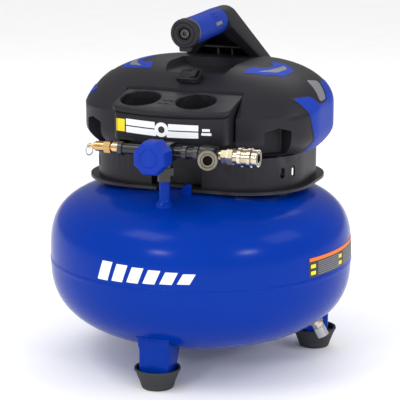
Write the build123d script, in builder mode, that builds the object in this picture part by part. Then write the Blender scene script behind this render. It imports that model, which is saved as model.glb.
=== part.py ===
from build123d import *

import os
from math import cos, radians, sin, tan

# Pancake air compressor. +X is its right side, -Y its front, +Z up, and the floor is z = 0.
# The tank's axis is the z axis. All sizes are in millimetres.
RUNNING_GAP = 0.05
FREE_GAP = 0.4

# Tank
TANK_RADIUS = 208.5
TANK_WALL = 2.5
SEAM_Z = 143.0
UPPER_POWER = 3.48
LOWER_POWER = 2.68
PROFILE_STEPS = 12
TANK_TOP_Z = 248.7
TANK_BOTTOM_Z = 31.3
GIRTH_CAP_WIDTH = 8.0
GIRTH_CAP_HEIGHT = 1.0
GIRTH_ROOT_WIDTH = 3.0
GIRTH_ROOT_HEIGHT = 0.8
PORT_RADIUS = 4.5

# Legs and rubber feet
LEG_ANGLES = (-90, 30, 150)
LEG_PITCH = 164.0
LEG_WIDTH = 42.0
LEG_DEPTH = 32.0
LEG_TOP_DEPTH = 47.0
LEG_TOP_Z = 58.0
LEG_SHEET = 3.0
LEG_CORNER = 4.0
LEG_BOTTOM_Z = 20.0
LEG_TRIM_Z = 110.0
FOOT_BASE_RADIUS = 21.5
FOOT_RIM_RADIUS = 31.0
FOOT_RIM_Z = 28.0
FOOT_EDGE = 3.0
FOOT_SCREW_RADIUS = 4.0
FOOT_SCREW_HEAD_Z = 4.0
FOOT_SCREW_HEAD_HEIGHT = 5.0

# Drain valve
DRAIN_ANGLE = 8.0
DRAIN_RADIUS = 162.0
DRAIN_Z = 57.0
DRAIN_DIP = 62.0

# Riser and manifold
RISER_Y = -135.0
RISER_RADIUS = 7.25
RISER_TOP_Z = 273.0
MANIFOLD_Z = 312.0
MANIFOLD_RADIUS = 7.0
MANIFOLD_BLOCK = 24.0
MANIFOLD_LEFT_X = -64.0
MANIFOLD_RIGHT_X = 77.0
FRONT_PORT_X = 62.0
FRONT_PORT_Z = 307.0
FRONT_PORT_TURN = 20.0
FRONT_PORT_RISE = 10.0
FRONT_STUB = 8.0

# Shroud
SHROUD_WALL = 3.0
FLANGE_BOTTOM_Z = 250.0
FLANGE_THICKNESS = 4.0
SKIRT_TOP_Z = 297.0
SKIRT_CENTRE_Y = 26.0
SKIRT_WIDTH = 294.0
SKIRT_DEPTH = 212.0
SKIRT_CORNER = 82.0
FLANGE_OVERHANG = 11.0
RECESS_X = -5.0
RECESS_WIDTH = 72.0
RECESS_BACK_Y = -58.0
COWL_CENTRE_Y = 34.0
COWL_WIDTH = 326.0
COWL_DEPTH = 242.0
COWL_CORNER = 104.0
COWL_WIDE_Z = 322.0
COWL_SHOULDER_Z = 352.0
CROWN_HALF_WIDTH = 72.0
CROWN_FRONT_Y = 14.0
CROWN_BACK_Y = 98.0
CROWN_CORNER = 40.0
SHOULDER_STEPS = 8
COWL_TOP_Z = 414.0
VALLEY_WIDTH = 84.0
VALLEY_FRONT_Y = -16.0
VALLEY_BACK_Y = 56.0
VALLEY_FLOOR_Z = 397.0
INLAY_DEPTH = 1.2

# Console and gauges
CONSOLE_LEFT_X = -86.0
CONSOLE_RIGHT_X = 80.0
CONSOLE_FRONT_Y = -122.0
CONSOLE_BACK_Y = -52.0
CONSOLE_BOTTOM_Z = 319.0
CONSOLE_FRONT_TOP_Z = 362.0
CONSOLE_TILT = 13.0
WELL_Y = -82.0
WELL_X = (-55.0, 23.5)
WELL_RADIUS = 27.0
WELL_WALL = 2.5
WELL_DEPTH = 40.0
GAUGE_DEPTH = 26.0

# Carrying handle
GRIP_FRONT = (0.0, -52.0, 457.0)
GRIP_RISE = 0.03
GRIP_RADIUS = 18.8
GRIP_CORE_RADIUS = 15.0
GRIP_LENGTH = 113.0
CAP_RADIUS = 20.0
CAP_DEPTH = 12.0
ARM_FRONT_Y = 58.0
ARM_FRONT_FOOT_Y = 112.0
ARM_BACK_Y = 92.0
ARM_BACK_FOOT_Y = 140.0
ARM_BEND_Z = 452.0
ARM_BASE_Z = 375.0
ARM_FOOT_X = 70.0
ARM_SLOPE = 56.5
ARM_APEX_Z = 494.0
ARM_APEX_RADIUS = 18.5
HOOD_FOOT_X = 46.0
HOOD_FOOT_Z = 404.0
HOOD_APEX_Z = 452.0
HOOD_APEX_RADIUS = 14.0
HOOD_BACK_WALL = 3.0

# Pump and motor
PUMP_Y = 30.0
CRANK_Z = 320.0
CRANK_THROW = 6.0
CRANK_PIN_RADIUS = 8.0
SHAFT_RADIUS = 6.0
STATOR_RADIUS = 54.0
STATOR_LEFT_X = -60.0
STATOR_RIGHT_X = 30.0
ROTOR_RADIUS = 29.4
STATOR_BORE = 30.0
CYLINDER_X = 85.0
BORE_RADIUS = 30.0
CASE_TOP_Z = 345.0
CYLINDER_TOP_Z = 378.0
HEAD_TOP_Z = 396.0
HEAD_RADIUS = 35.0
PAD_TOP_Z = 252.5
CRADLE_Z = 262.5

os.makedirs("parts", exist_ok=True)


def keep(piece, name):
    """Labels a finished piece and writes it under its name."""
    piece.label = name
    export_step(piece, f"parts/{name}.step")


def head_curve(up, height, power, inset):
    """Draws a dished head's profile, a superellipse inset from its outer surface, rim to pole."""
    points = []
    for step in range(PROFILE_STEPS + 1):
        turn = radians(90 * step / PROFILE_STEPS)
        across = abs(cos(turn)) ** (2 / power) if step < PROFILE_STEPS else 0
        along = abs(sin(turn)) ** (2 / power)
        points.append(((TANK_RADIUS - inset) * across, SEAM_Z + up * (height - inset) * along))
    Spline(*points, tangents=((0, up), (-1, 0)))
    return points[0], points[-1]


UPPER_HEIGHT = TANK_TOP_Z - SEAM_Z
LOWER_HEIGHT = SEAM_Z - TANK_BOTTOM_Z
RISER_PLANE = Plane.XY.offset(SEAM_Z)
DRAIN_OUT = (
    cos(radians(DRAIN_ANGLE)) * cos(radians(DRAIN_DIP)),
    sin(radians(DRAIN_ANGLE)) * cos(radians(DRAIN_DIP)),
    -sin(radians(DRAIN_DIP)),
)
DRAIN_PLANE = Plane(
    origin=(
        DRAIN_RADIUS * cos(radians(DRAIN_ANGLE)),
        DRAIN_RADIUS * sin(radians(DRAIN_ANGLE)),
        DRAIN_Z,
    ),
    x_dir=(-sin(radians(DRAIN_ANGLE)), cos(radians(DRAIN_ANGLE)), 0),
    z_dir=DRAIN_OUT,
)
CHECK_VALVE_X = CYLINDER_X
CHECK_VALVE_Y = 112.0

# The tank's outer surface as one solid, for trimming what is welded to it.
with BuildPart() as tank_envelope:
    with BuildSketch(Plane.XZ):
        with BuildLine():
            rim, upper_pole = head_curve(1, UPPER_HEIGHT, UPPER_POWER, 0)
            rim, lower_pole = head_curve(-1, LOWER_HEIGHT, LOWER_POWER, 0)
            Line(upper_pole, lower_pole)
        make_face()
    revolve(axis=Axis.Z)

# The girth weld goes through the wall: a proud cap outside and a narrower root inside.
with BuildPart() as tank_girth_weld:
    with BuildSketch(Plane.XZ):
        with BuildLine():
            cap_low = (TANK_RADIUS, SEAM_Z - GIRTH_CAP_WIDTH / 2)
            cap_high = (TANK_RADIUS, SEAM_Z + GIRTH_CAP_WIDTH / 2)
            root_low = (TANK_RADIUS - TANK_WALL - GIRTH_ROOT_HEIGHT, SEAM_Z - GIRTH_ROOT_WIDTH / 2)
            root_high = (TANK_RADIUS - TANK_WALL - GIRTH_ROOT_HEIGHT, SEAM_Z + GIRTH_ROOT_WIDTH / 2)
            ThreePointArc(cap_low, (TANK_RADIUS + GIRTH_CAP_HEIGHT, SEAM_Z), cap_high)
            Polyline(cap_high, root_high, root_low, cap_low)
        make_face()
    revolve(axis=Axis.Z)
keep(tank_girth_weld.part, "tank_girth_weld")

with BuildPart() as tank_upper_head:
    with BuildSketch(Plane.XZ):
        with BuildLine():
            outer_rim, outer_pole = head_curve(1, UPPER_HEIGHT, UPPER_POWER, 0)
            inner_rim, inner_pole = head_curve(1, UPPER_HEIGHT, UPPER_POWER, TANK_WALL)
            Line(outer_rim, inner_rim)
            Line(outer_pole, inner_pole)
        make_face()
    revolve(axis=Axis.Z)
    with BuildSketch(RISER_PLANE):
        with Locations((0, RISER_Y), (CHECK_VALVE_X, CHECK_VALVE_Y)):
            Circle(PORT_RADIUS)
    extrude(amount=TANK_TOP_Z - SEAM_Z, mode=Mode.SUBTRACT)
    add(tank_girth_weld.part, mode=Mode.SUBTRACT)
keep(tank_upper_head.part, "tank_upper_head")

with BuildPart() as tank_lower_head:
    with BuildSketch(Plane.XZ):
        with BuildLine():
            outer_rim, outer_pole = head_curve(-1, LOWER_HEIGHT, LOWER_POWER, 0)
            inner_rim, inner_pole = head_curve(-1, LOWER_HEIGHT, LOWER_POWER, TANK_WALL)
            Line(outer_rim, inner_rim)
            Line(outer_pole, inner_pole)
        make_face()
    revolve(axis=Axis.Z)
    with BuildSketch(DRAIN_PLANE.offset(-TANK_WALL * 4)):
        Circle(PORT_RADIUS)
    extrude(amount=TANK_WALL * 8, mode=Mode.SUBTRACT)
    add(tank_girth_weld.part, mode=Mode.SUBTRACT)
keep(tank_lower_head.part, "tank_lower_head")

# Each leg is a folded channel, open towards the tank's axis, with a floor plate for its foot.
foot_screws = []
for number, leg_angle in enumerate(LEG_ANGLES, 1):
    outward = (cos(radians(leg_angle)), sin(radians(leg_angle)), 0)
    leg_spot = (LEG_PITCH * outward[0], LEG_PITCH * outward[1], 0)
    floor_plane = Plane(origin=leg_spot, x_dir=outward, z_dir=(0, 0, 1))
    leg_plane = floor_plane.offset(LEG_BOTTOM_Z)

    side_plane = Plane(origin=leg_spot, x_dir=outward, z_dir=(outward[1], -outward[0], 0))
    half_depth = LEG_DEPTH / 2
    with BuildPart() as leg_bracket:
        with BuildSketch(side_plane):
            with BuildLine():
                Polyline(
                    (half_depth, LEG_BOTTOM_Z),
                    (half_depth, LEG_TRIM_Z),
                    (half_depth - LEG_TOP_DEPTH, LEG_TRIM_Z),
                    (half_depth - LEG_TOP_DEPTH, LEG_TOP_Z),
                    (-half_depth, FOOT_RIM_Z),
                    (-half_depth, LEG_BOTTOM_Z),
                    close=True,
                )
            make_face()
        extrude(amount=LEG_WIDTH / 2, both=True)
        with BuildSketch(floor_plane.offset(LEG_BOTTOM_Z)):
            with Locations((half_depth - LEG_TRIM_Z / 2, 0)):
                RectangleRounded(LEG_TRIM_Z, LEG_WIDTH, LEG_CORNER)
        extrude(amount=LEG_TRIM_Z, mode=Mode.INTERSECT)
        with BuildSketch(leg_plane.offset(LEG_SHEET)):
            with Locations((half_depth - LEG_SHEET - LEG_TRIM_Z / 2, 0)):
                RectangleRounded(LEG_TRIM_Z, LEG_WIDTH - 2 * LEG_SHEET, 2)
        extrude(amount=LEG_TRIM_Z, mode=Mode.SUBTRACT)
        with BuildSketch(floor_plane):
            Circle(FOOT_SCREW_RADIUS + RUNNING_GAP)
        extrude(amount=LEG_TRIM_Z, mode=Mode.SUBTRACT)
        add(tank_envelope.part, mode=Mode.SUBTRACT)
    keep(leg_bracket.part, f"leg_bracket_{number}")

    with BuildPart() as rubber_foot:
        with BuildSketch(Plane.XZ):
            with BuildLine():
                Polyline(
                    (0, 0),
                    (FOOT_BASE_RADIUS, 0),
                    (FOOT_RIM_RADIUS, FOOT_RIM_Z),
                    (0, FOOT_RIM_Z),
                    close=True,
                )
            make_face()
        revolve(axis=Axis.Z)
        fillet(rubber_foot.edges().group_by(Axis.Z)[0], FOOT_EDGE)
        chamfer(rubber_foot.edges().group_by(Axis.Z)[-1], 1)
        with BuildSketch(Plane.XY.offset(LEG_BOTTOM_Z)):
            Rectangle(LEG_DEPTH, LEG_WIDTH)
        extrude(amount=FOOT_RIM_Z, mode=Mode.SUBTRACT)
        with BuildSketch():
            Circle(FOOT_SCREW_RADIUS * 2.4)
        extrude(amount=FOOT_SCREW_HEAD_Z + FOOT_SCREW_HEAD_HEIGHT, mode=Mode.SUBTRACT)
        with BuildSketch():
            Circle(FOOT_SCREW_RADIUS + RUNNING_GAP)
        extrude(amount=FOOT_RIM_Z, mode=Mode.SUBTRACT)
    keep(floor_plane.location * rubber_foot.part, f"rubber_foot_{number}")

    head_top_z = FOOT_SCREW_HEAD_Z + FOOT_SCREW_HEAD_HEIGHT
    nut_z = LEG_BOTTOM_Z + LEG_SHEET
    with BuildPart() as foot_screw:
        with BuildSketch(Plane.XY.offset(FOOT_SCREW_HEAD_Z)):
            RegularPolygon(FOOT_SCREW_RADIUS * 1.7, 6)
        extrude(amount=FOOT_SCREW_HEAD_HEIGHT)
        with BuildSketch(Plane.XY.offset(head_top_z)):
            Circle(FOOT_SCREW_RADIUS)
        extrude(amount=nut_z + 8 - head_top_z)
        with BuildSketch(Plane.XY.offset(nut_z)):
            RegularPolygon(FOOT_SCREW_RADIUS * 1.7, 6)
        extrude(amount=6)
    foot_screws.append(floor_plane.location * foot_screw.part)
keep(Compound(children=foot_screws), "foot_screws")

# Drain valve: a threaded bung welded low on the tank, a hexagonal body and a knurled screw.
with BuildPart() as drain_bung:
    with BuildSketch(DRAIN_PLANE.offset(-8)):
        Circle(9)
        Circle(PORT_RADIUS, mode=Mode.SUBTRACT)
    extrude(amount=14)
    add(tank_envelope.part, mode=Mode.SUBTRACT)
keep(drain_bung.part, "drain_bung")

with BuildPart() as drain_valve_body:
    with BuildSketch(DRAIN_PLANE.offset(6)):
        RegularPolygon(8, 6)
    extrude(amount=6)
    with BuildSketch(DRAIN_PLANE.offset(12)):
        Circle(5)
    extrude(amount=5)
    with BuildSketch(DRAIN_PLANE.offset(10)):
        Circle(2.5)
    extrude(amount=10, mode=Mode.SUBTRACT)
keep(drain_valve_body.part, "drain_valve_body")

with BuildPart() as drain_valve_knob:
    with BuildSketch(DRAIN_PLANE.offset(12.5)):
        Circle(8)
        Circle(5 + FREE_GAP, mode=Mode.SUBTRACT)
        with PolarLocations(8.3, 16):
            Circle(0.9, mode=Mode.SUBTRACT)
    extrude(amount=14)
    with BuildSketch(DRAIN_PLANE.offset(18)):
        Circle(6)
    extrude(amount=8.5)
    with BuildSketch(DRAIN_PLANE.offset(11)):
        Circle(2.5 - RUNNING_GAP)
    extrude(amount=8)
keep(drain_valve_knob.part, "drain_valve_knob")

# Riser pipe from the tank to the manifold, with its weld and its black union.
WELD_LEG = 4.5
with BuildPart() as riser_pipe:
    with BuildSketch(RISER_PLANE):
        with Locations((0, RISER_Y)):
            Circle(RISER_RADIUS)
    extrude(amount=RISER_TOP_Z - SEAM_Z)
    with BuildSketch(RISER_PLANE):
        with Locations((0, RISER_Y)):
            Circle(RISER_RADIUS + WELD_LEG)
    extrude(amount=TANK_TOP_Z - WELD_LEG / 2 - SEAM_Z)
    chamfer(riser_pipe.edges().filter_by(GeomType.CIRCLE).sort_by(SortBy.RADIUS)[-1], WELD_LEG - 0.1)
    add(tank_envelope.part, mode=Mode.SUBTRACT)
    with BuildSketch(RISER_PLANE):
        with Locations((0, RISER_Y)):
            Circle(PORT_RADIUS)
    extrude(amount=RISER_TOP_Z - SEAM_Z, mode=Mode.SUBTRACT)
keep(riser_pipe.part, "riser_pipe")

BLOCK_BOTTOM_Z = MANIFOLD_Z - MANIFOLD_BLOCK / 2
# The manifold runs across the front under the console. It feeds both couplers and, through a
# nipple at its back, the pressure switch inside the console.
SWITCH_X = -15.8
SWITCH_BOTTOM_Z = 326.0
SWITCH_BODY_WIDTH = 17.0
SWITCH_BODY_LENGTH = 52.0
NIPPLE_RADIUS = 6.0
NIPPLE_Y = -102.0
NIPPLE_Z = 308.0
MANIFOLD_PLANE = Plane(origin=(0, RISER_Y, MANIFOLD_Z), x_dir=(0, 1, 0), z_dir=(1, 0, 0))
FRONT_PORT_OUT = (
    sin(radians(FRONT_PORT_TURN)) * cos(radians(FRONT_PORT_RISE)),
    -cos(radians(FRONT_PORT_TURN)) * cos(radians(FRONT_PORT_RISE)),
    sin(radians(FRONT_PORT_RISE)),
)
front_port = Plane(origin=(FRONT_PORT_X, RISER_Y - 6, FRONT_PORT_Z), x_dir=(1, 0, 0), z_dir=FRONT_PORT_OUT)
with BuildPart() as manifold:
    with BuildSketch(MANIFOLD_PLANE.offset(MANIFOLD_LEFT_X)):
        Circle(MANIFOLD_RADIUS)
    extrude(amount=MANIFOLD_RIGHT_X - MANIFOLD_LEFT_X)
    with BuildSketch(MANIFOLD_PLANE.offset(-MANIFOLD_BLOCK / 2)):
        RectangleRounded(MANIFOLD_BLOCK, MANIFOLD_BLOCK, 3)
    extrude(amount=MANIFOLD_BLOCK)
    with BuildSketch(MANIFOLD_PLANE.offset(FRONT_PORT_X - 10)):
        with Locations((0, (FRONT_PORT_Z - MANIFOLD_Z) / 2)):
            RectangleRounded(20, 22 + MANIFOLD_Z - FRONT_PORT_Z, 3)
    extrude(amount=20)
    with BuildSketch(front_port):
        Circle(MANIFOLD_RADIUS)
    extrude(amount=FRONT_STUB)
    for collar_x in (MANIFOLD_LEFT_X, -26, 26, 42):
        with BuildSketch(MANIFOLD_PLANE.offset(collar_x)):
            Circle(MANIFOLD_RADIUS + 2)
        extrude(amount=6)
    with BuildSketch(Plane.XY.offset(RISER_TOP_Z)):
        with Locations((0, RISER_Y)):
            Circle(9.5)
    extrude(amount=BLOCK_BOTTOM_Z - RISER_TOP_Z)
    with BuildSketch(Plane.XY.offset(RISER_TOP_Z + 8)):
        with Locations((0, RISER_Y)):
            RegularPolygon(12.5, 6)
    extrude(amount=10)
    with BuildSketch(Plane(origin=(SWITCH_X, RISER_Y, NIPPLE_Z), x_dir=(1, 0, 0), z_dir=(0, 1, 0))):
        Circle(NIPPLE_RADIUS)
    extrude(amount=NIPPLE_Y - RISER_Y + NIPPLE_RADIUS)
    with BuildSketch(Plane.XY.offset(NIPPLE_Z)):
        with Locations((SWITCH_X, NIPPLE_Y)):
            Circle(NIPPLE_RADIUS)
    extrude(amount=SWITCH_BOTTOM_Z - NIPPLE_Z)
keep(manifold.part, "manifold")

BLOCK_FRONT_Y = RISER_Y - MANIFOLD_BLOCK / 2
REGULATOR_PLANE = Plane(origin=(0, BLOCK_FRONT_Y, MANIFOLD_Z), x_dir=(1, 0, 0), z_dir=(0, -1, 0))
KNOB_BACK = 10.0
KNOB_DEPTH = 35.0
KNOB_RADIUS = 23.2
STEM_RADIUS = 8.0
STEM_LENGTH = 28.0
with BuildPart() as regulator_bonnet:
    with BuildSketch(REGULATOR_PLANE):
        Circle(14)
    extrude(amount=KNOB_BACK - 1)
    chamfer(regulator_bonnet.edges().group_by(Axis.Y)[0], 1.5)
    with BuildSketch(REGULATOR_PLANE.offset(KNOB_BACK - 1)):
        Circle(STEM_RADIUS)
    extrude(amount=STEM_LENGTH - KNOB_BACK + 1)
keep(regulator_bonnet.part, "regulator_bonnet")

with BuildPart() as regulator_knob:
    with BuildSketch(REGULATOR_PLANE.offset(KNOB_BACK)):
        RegularPolygon(KNOB_RADIUS, 8, rotation=22.5)
        fillet(vertices(), 3)
        with PolarLocations(KNOB_RADIUS * 1.6, 8):
            Circle(KNOB_RADIUS * 0.72, mode=Mode.SUBTRACT)
    extrude(amount=KNOB_DEPTH)
    chamfer(regulator_knob.faces().sort_by(Axis.Y)[0].edges(), 2.5)
    with BuildSketch(REGULATOR_PLANE.offset(KNOB_BACK)):
        Circle(STEM_RADIUS + FREE_GAP)
    extrude(amount=STEM_LENGTH - KNOB_BACK + 1, mode=Mode.SUBTRACT)
keep(regulator_knob.part, "regulator_knob")

with BuildPart() as pressure_switch:
    with BuildSketch(Plane.XY.offset(SWITCH_BOTTOM_Z)):
        with Locations((SWITCH_X, NIPPLE_Y + 14)):
            RectangleRounded(SWITCH_BODY_WIDTH, SWITCH_BODY_LENGTH, 4)
    extrude(amount=30)
    fillet(pressure_switch.edges().group_by(Axis.Z)[-1], 2)
keep(pressure_switch.part, "pressure_switch")

# Safety valve at the manifold's left end: body, spring-loaded stem with an eye, and pull ring.
SAFETY_Z = MANIFOLD_Z + 1
SAFETY_PLANE = Plane(origin=(MANIFOLD_LEFT_X, RISER_Y, SAFETY_Z), x_dir=(0, 1, 0), z_dir=(-1, 0, 0))
SAFETY_LENGTH = 36.0
EYE_X = MANIFOLD_LEFT_X - SAFETY_LENGTH - 7.0
RING_RADIUS = 6.5
RING_WIRE = 0.8
RING_TURN = 70.0
with BuildPart() as safety_valve_body:
    with BuildSketch(SAFETY_PLANE):
        Circle(7.5)
    extrude(amount=8)
    with BuildSketch(SAFETY_PLANE.offset(8)):
        Circle(5.5)
    extrude(amount=3)
    with BuildSketch(SAFETY_PLANE.offset(11)):
        RegularPolygon(8.6, 6)
    extrude(amount=9)
    with BuildSketch(SAFETY_PLANE.offset(20)):
        Circle(6.6)
    extrude(amount=13)
    with BuildSketch(SAFETY_PLANE.offset(33)):
        Circle(4.5)
    extrude(amount=3)
    with BuildSketch(SAFETY_PLANE.offset(14)):
        Circle(2.2 + RUNNING_GAP)
    extrude(amount=30, mode=Mode.SUBTRACT)
keep(safety_valve_body.part, "safety_valve_body")

with BuildPart() as safety_valve_stem:
    with BuildSketch(SAFETY_PLANE.offset(18)):
        Circle(2.2)
    extrude(amount=SAFETY_LENGTH - 18 + 4.6)
    with BuildSketch(Plane(origin=(EYE_X, RISER_Y + 0.75, SAFETY_Z), x_dir=(1, 0, 0), z_dir=(0, -1, 0))):
        Circle(3.4)
        Circle(2.0, mode=Mode.SUBTRACT)
    extrude(amount=1.5)
keep(safety_valve_stem.part, "safety_valve_stem")

ring_across = (cos(radians(RING_TURN)), sin(radians(RING_TURN)), 0)
ring_plane = Plane(
    origin=(EYE_X, RISER_Y, SAFETY_Z - RING_RADIUS),
    x_dir=ring_across,
    z_dir=(sin(radians(RING_TURN)), -cos(radians(RING_TURN)), 0),
)
with BuildPart() as safety_pull_ring:
    with BuildLine(ring_plane) as ring_path:
        CenterArc((0, 0), RING_RADIUS, 0, 360)
    with BuildSketch(Plane(origin=ring_path.line @ 0, z_dir=ring_path.line % 0)):
        Circle(RING_WIRE)
    sweep(path=ring_path.line)
keep(safety_pull_ring.part, "safety_pull_ring")


# Quick couplers: a hexagonal nipple, a body with the plug socket, and a sliding sleeve.
SOCKET_RADIUS = 6.2
SOCKET_LENGTH = 20.0
COUPLER_LENGTH = 52.0
SLEEVE_START = 26.0
SLEEVE_LENGTH = 17.0
COUPLER_TUBE_RADIUS = 8.9
coupler_planes = {
    "front": front_port.offset(FRONT_STUB),
    "side": Plane(origin=(MANIFOLD_RIGHT_X, RISER_Y, MANIFOLD_Z), x_dir=(0, 1, 0), z_dir=(1, 0, 0)),
}
for side, port in coupler_planes.items():
    with BuildPart() as coupler_body:
        with BuildSketch(port):
            Circle(7.6)
        extrude(amount=3)
        with BuildSketch(port.offset(3)):
            RegularPolygon(9.6, 6)
        extrude(amount=8)
        with BuildSketch(port.offset(11)):
            RegularPolygon(11.6, 6)
        extrude(amount=8)
        with BuildSketch(port.offset(19)):
            Circle(COUPLER_TUBE_RADIUS)
        extrude(amount=COUPLER_LENGTH - 19)
        with BuildSketch(port.offset(COUPLER_LENGTH - 7)):
            Circle(11.4)
        extrude(amount=7)
        with BuildSketch(port.offset(COUPLER_LENGTH - SOCKET_LENGTH)):
            Circle(SOCKET_RADIUS)
        extrude(amount=SOCKET_LENGTH, mode=Mode.SUBTRACT)
    keep(coupler_body.part, f"{side}_coupler_body")

    with BuildPart() as coupler_sleeve:
        with BuildSketch(port.offset(SLEEVE_START)):
            Circle(11.3)
            Circle(COUPLER_TUBE_RADIUS + RUNNING_GAP, mode=Mode.SUBTRACT)
        extrude(amount=SLEEVE_LENGTH)
        for ridge_start in (0, SLEEVE_LENGTH - 4.5):
            with BuildSketch(port.offset(SLEEVE_START + ridge_start)):
                Circle(12.6)
                Circle(COUPLER_TUBE_RADIUS + RUNNING_GAP, mode=Mode.SUBTRACT)
            extrude(amount=4.5)
    keep(coupler_sleeve.part, f"{side}_coupler_sleeve")


# Shroud skirt: an oval wall standing on a flange, stepped back in front for the riser.
def skirt_outline(overhang):
    """Draws the skirt's plan, grown outwards by the overhang."""
    with Locations((0, SKIRT_CENTRE_Y)):
        RectangleRounded(
            SKIRT_WIDTH + 2 * overhang, SKIRT_DEPTH + 2 * overhang, SKIRT_CORNER + overhang
        )
    recess_depth = SKIRT_DEPTH
    with Locations((RECESS_X, RECESS_BACK_Y - overhang - recess_depth / 2)):
        RectangleRounded(RECESS_WIDTH - 2 * overhang, recess_depth, 12, mode=Mode.SUBTRACT)


GLAND_X = -70.0
GLAND_Z = 276.0
GLAND_RADIUS = 9.0
SKIRT_BACK_Y = SKIRT_CENTRE_Y + SKIRT_DEPTH / 2
with BuildPart() as shroud_skirt:
    with BuildSketch(Plane.XY.offset(FLANGE_BOTTOM_Z)):
        skirt_outline(0)
        offset(amount=-SHROUD_WALL, mode=Mode.SUBTRACT)
    extrude(amount=SKIRT_TOP_Z - FLANGE_BOTTOM_Z)
    with BuildSketch(Plane.XY.offset(FLANGE_BOTTOM_Z)):
        skirt_outline(FLANGE_OVERHANG)
        with BuildSketch(mode=Mode.PRIVATE) as wall_line:
            skirt_outline(-SHROUD_WALL)
        add(wall_line.sketch, mode=Mode.SUBTRACT)
    extrude(amount=FLANGE_THICKNESS)
    with BuildSketch(Plane(origin=(GLAND_X, SKIRT_BACK_Y - 20, GLAND_Z), x_dir=(1, 0, 0), z_dir=(0, 1, 0))):
        Circle(GLAND_RADIUS)
    extrude(amount=40, mode=Mode.SUBTRACT)
    for slot_angle in (-38, -22):
        slot_out = (cos(radians(slot_angle)), sin(radians(slot_angle)), 0)
        for mirror_x in (1, -1):
            slot_dir = (mirror_x * slot_out[0], slot_out[1], 0)
            slot_plane = Plane(
                origin=(mirror_x * 75, 0, 275), x_dir=(0, 0, 1), z_dir=slot_dir
            )
            with BuildSketch(slot_plane):
                SlotOverall(15, 7)
            extrude(amount=130, mode=Mode.SUBTRACT)
keep(shroud_skirt.part, "shroud_skirt")

with BuildPart() as cord_gland:
    with BuildSketch(Plane(origin=(GLAND_X, SKIRT_BACK_Y - 6, GLAND_Z), x_dir=(1, 0, 0), z_dir=(0, 1, 0))):
        Circle(GLAND_RADIUS)
        Circle(4.5, mode=Mode.SUBTRACT)
    extrude(amount=10)
    with BuildSketch(Plane(origin=(GLAND_X, SKIRT_BACK_Y, GLAND_Z), x_dir=(1, 0, 0), z_dir=(0, 1, 0))):
        Circle(GLAND_RADIUS + 3)
        Circle(4.5, mode=Mode.SUBTRACT)
    extrude(amount=4)
keep(cord_gland.part, "cord_gland")


def cowl_solid(inset):
    """The cowl's outer form, moved inwards by the inset: rounded plans stacked up to its crown."""
    front = COWL_CENTRE_Y - COWL_DEPTH / 2
    back = COWL_CENTRE_Y + COWL_DEPTH / 2
    half = COWL_WIDTH / 2
    chamfer_width = 14.0
    levels = [
        (SKIRT_TOP_Z, half - chamfer_width, front + chamfer_width, back - chamfer_width, COWL_CORNER),
        (COWL_WIDE_Z, half, front, back, COWL_CORNER),
    ]
    for step in range(SHOULDER_STEPS + 1):
        share = step / SHOULDER_STEPS
        spread = cos(radians(90 * share))
        levels.append(
            (
                COWL_SHOULDER_Z + (COWL_TOP_Z - inset - COWL_SHOULDER_Z) * sin(radians(90 * share)),
                CROWN_HALF_WIDTH + (half - CROWN_HALF_WIDTH) * spread,
                CROWN_FRONT_Y + (front - CROWN_FRONT_Y) * (1 - share),
                CROWN_BACK_Y + (back - CROWN_BACK_Y) * spread,
                CROWN_CORNER + (COWL_CORNER - CROWN_CORNER) * spread,
            )
        )
    with BuildPart() as form:
        for level_z, half_width, front_y, back_y, corner in levels:
            with BuildSketch(Plane.XY.offset(level_z)):
                with Locations((0, (front_y + back_y) / 2)):
                    RectangleRounded(
                        2 * (half_width - inset), back_y - front_y - 2 * inset, corner - inset
                    )
        loft(ruled=True)
    return form.part


cowl_outer = cowl_solid(0)
cowl_inner = cowl_solid(SHROUD_WALL)
cowl_under_inlays = cowl_solid(INLAY_DEPTH)
CONSOLE_SLOPE = tan(radians(CONSOLE_TILT))


def console_solid(inset):
    """The console's outer form: a bowed front, rounded ends and a top that slopes forward."""
    left = CONSOLE_LEFT_X + inset
    right = CONSOLE_RIGHT_X - inset
    front = CONSOLE_FRONT_Y + inset
    low = CONSOLE_BOTTOM_Z + inset
    front_top = CONSOLE_FRONT_TOP_Z - inset
    end_y = -98.0
    middle = (left + right) / 2
    with BuildPart() as form:
        with BuildSketch(Plane.XY.offset(CONSOLE_BOTTOM_Z - 5)):
            with BuildLine():
                ThreePointArc((left + 9, front + 9), (middle, front), (right - 9, front + 9))
                Polyline((right - 9, front + 9), (right, end_y), (right, CONSOLE_BACK_Y))
                Line((right, CONSOLE_BACK_Y), (left, CONSOLE_BACK_Y))
                Polyline((left, CONSOLE_BACK_Y), (left, end_y), (left + 9, front + 9))
            make_face()
        extrude(amount=90)
        fillet(form.edges().filter_by(Axis.Z).group_by(Axis.Y)[0], 10)
        with BuildSketch(Plane.YZ.offset(CONSOLE_LEFT_X - 10)):
            with BuildLine():
                back_top = front_top + (CONSOLE_BACK_Y - CONSOLE_FRONT_Y) * CONSOLE_SLOPE
                Polyline(
                    (CONSOLE_FRONT_Y - 5, low),
                    (CONSOLE_BACK_Y, low),
                    (CONSOLE_BACK_Y, back_top),
                    (CONSOLE_FRONT_Y, front_top),
                    (CONSOLE_FRONT_Y - 5, front_top),
                    close=True,
                )
            make_face()
        extrude(amount=CONSOLE_RIGHT_X - CONSOLE_LEFT_X + 20, mode=Mode.INTERSECT)
    return form.part


console_outer = console_solid(0)
console_inner = console_solid(SHROUD_WALL)
WELL_RIM_Z = CONSOLE_FRONT_TOP_Z + (WELL_Y - CONSOLE_FRONT_Y) * CONSOLE_SLOPE
PANEL_NORMAL = (0, -sin(radians(CONSOLE_TILT)), cos(radians(CONSOLE_TILT)))
well_planes = [Plane(origin=(x, WELL_Y, WELL_RIM_Z), x_dir=(1, 0, 0), z_dir=PANEL_NORMAL) for x in WELL_X]

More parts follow.
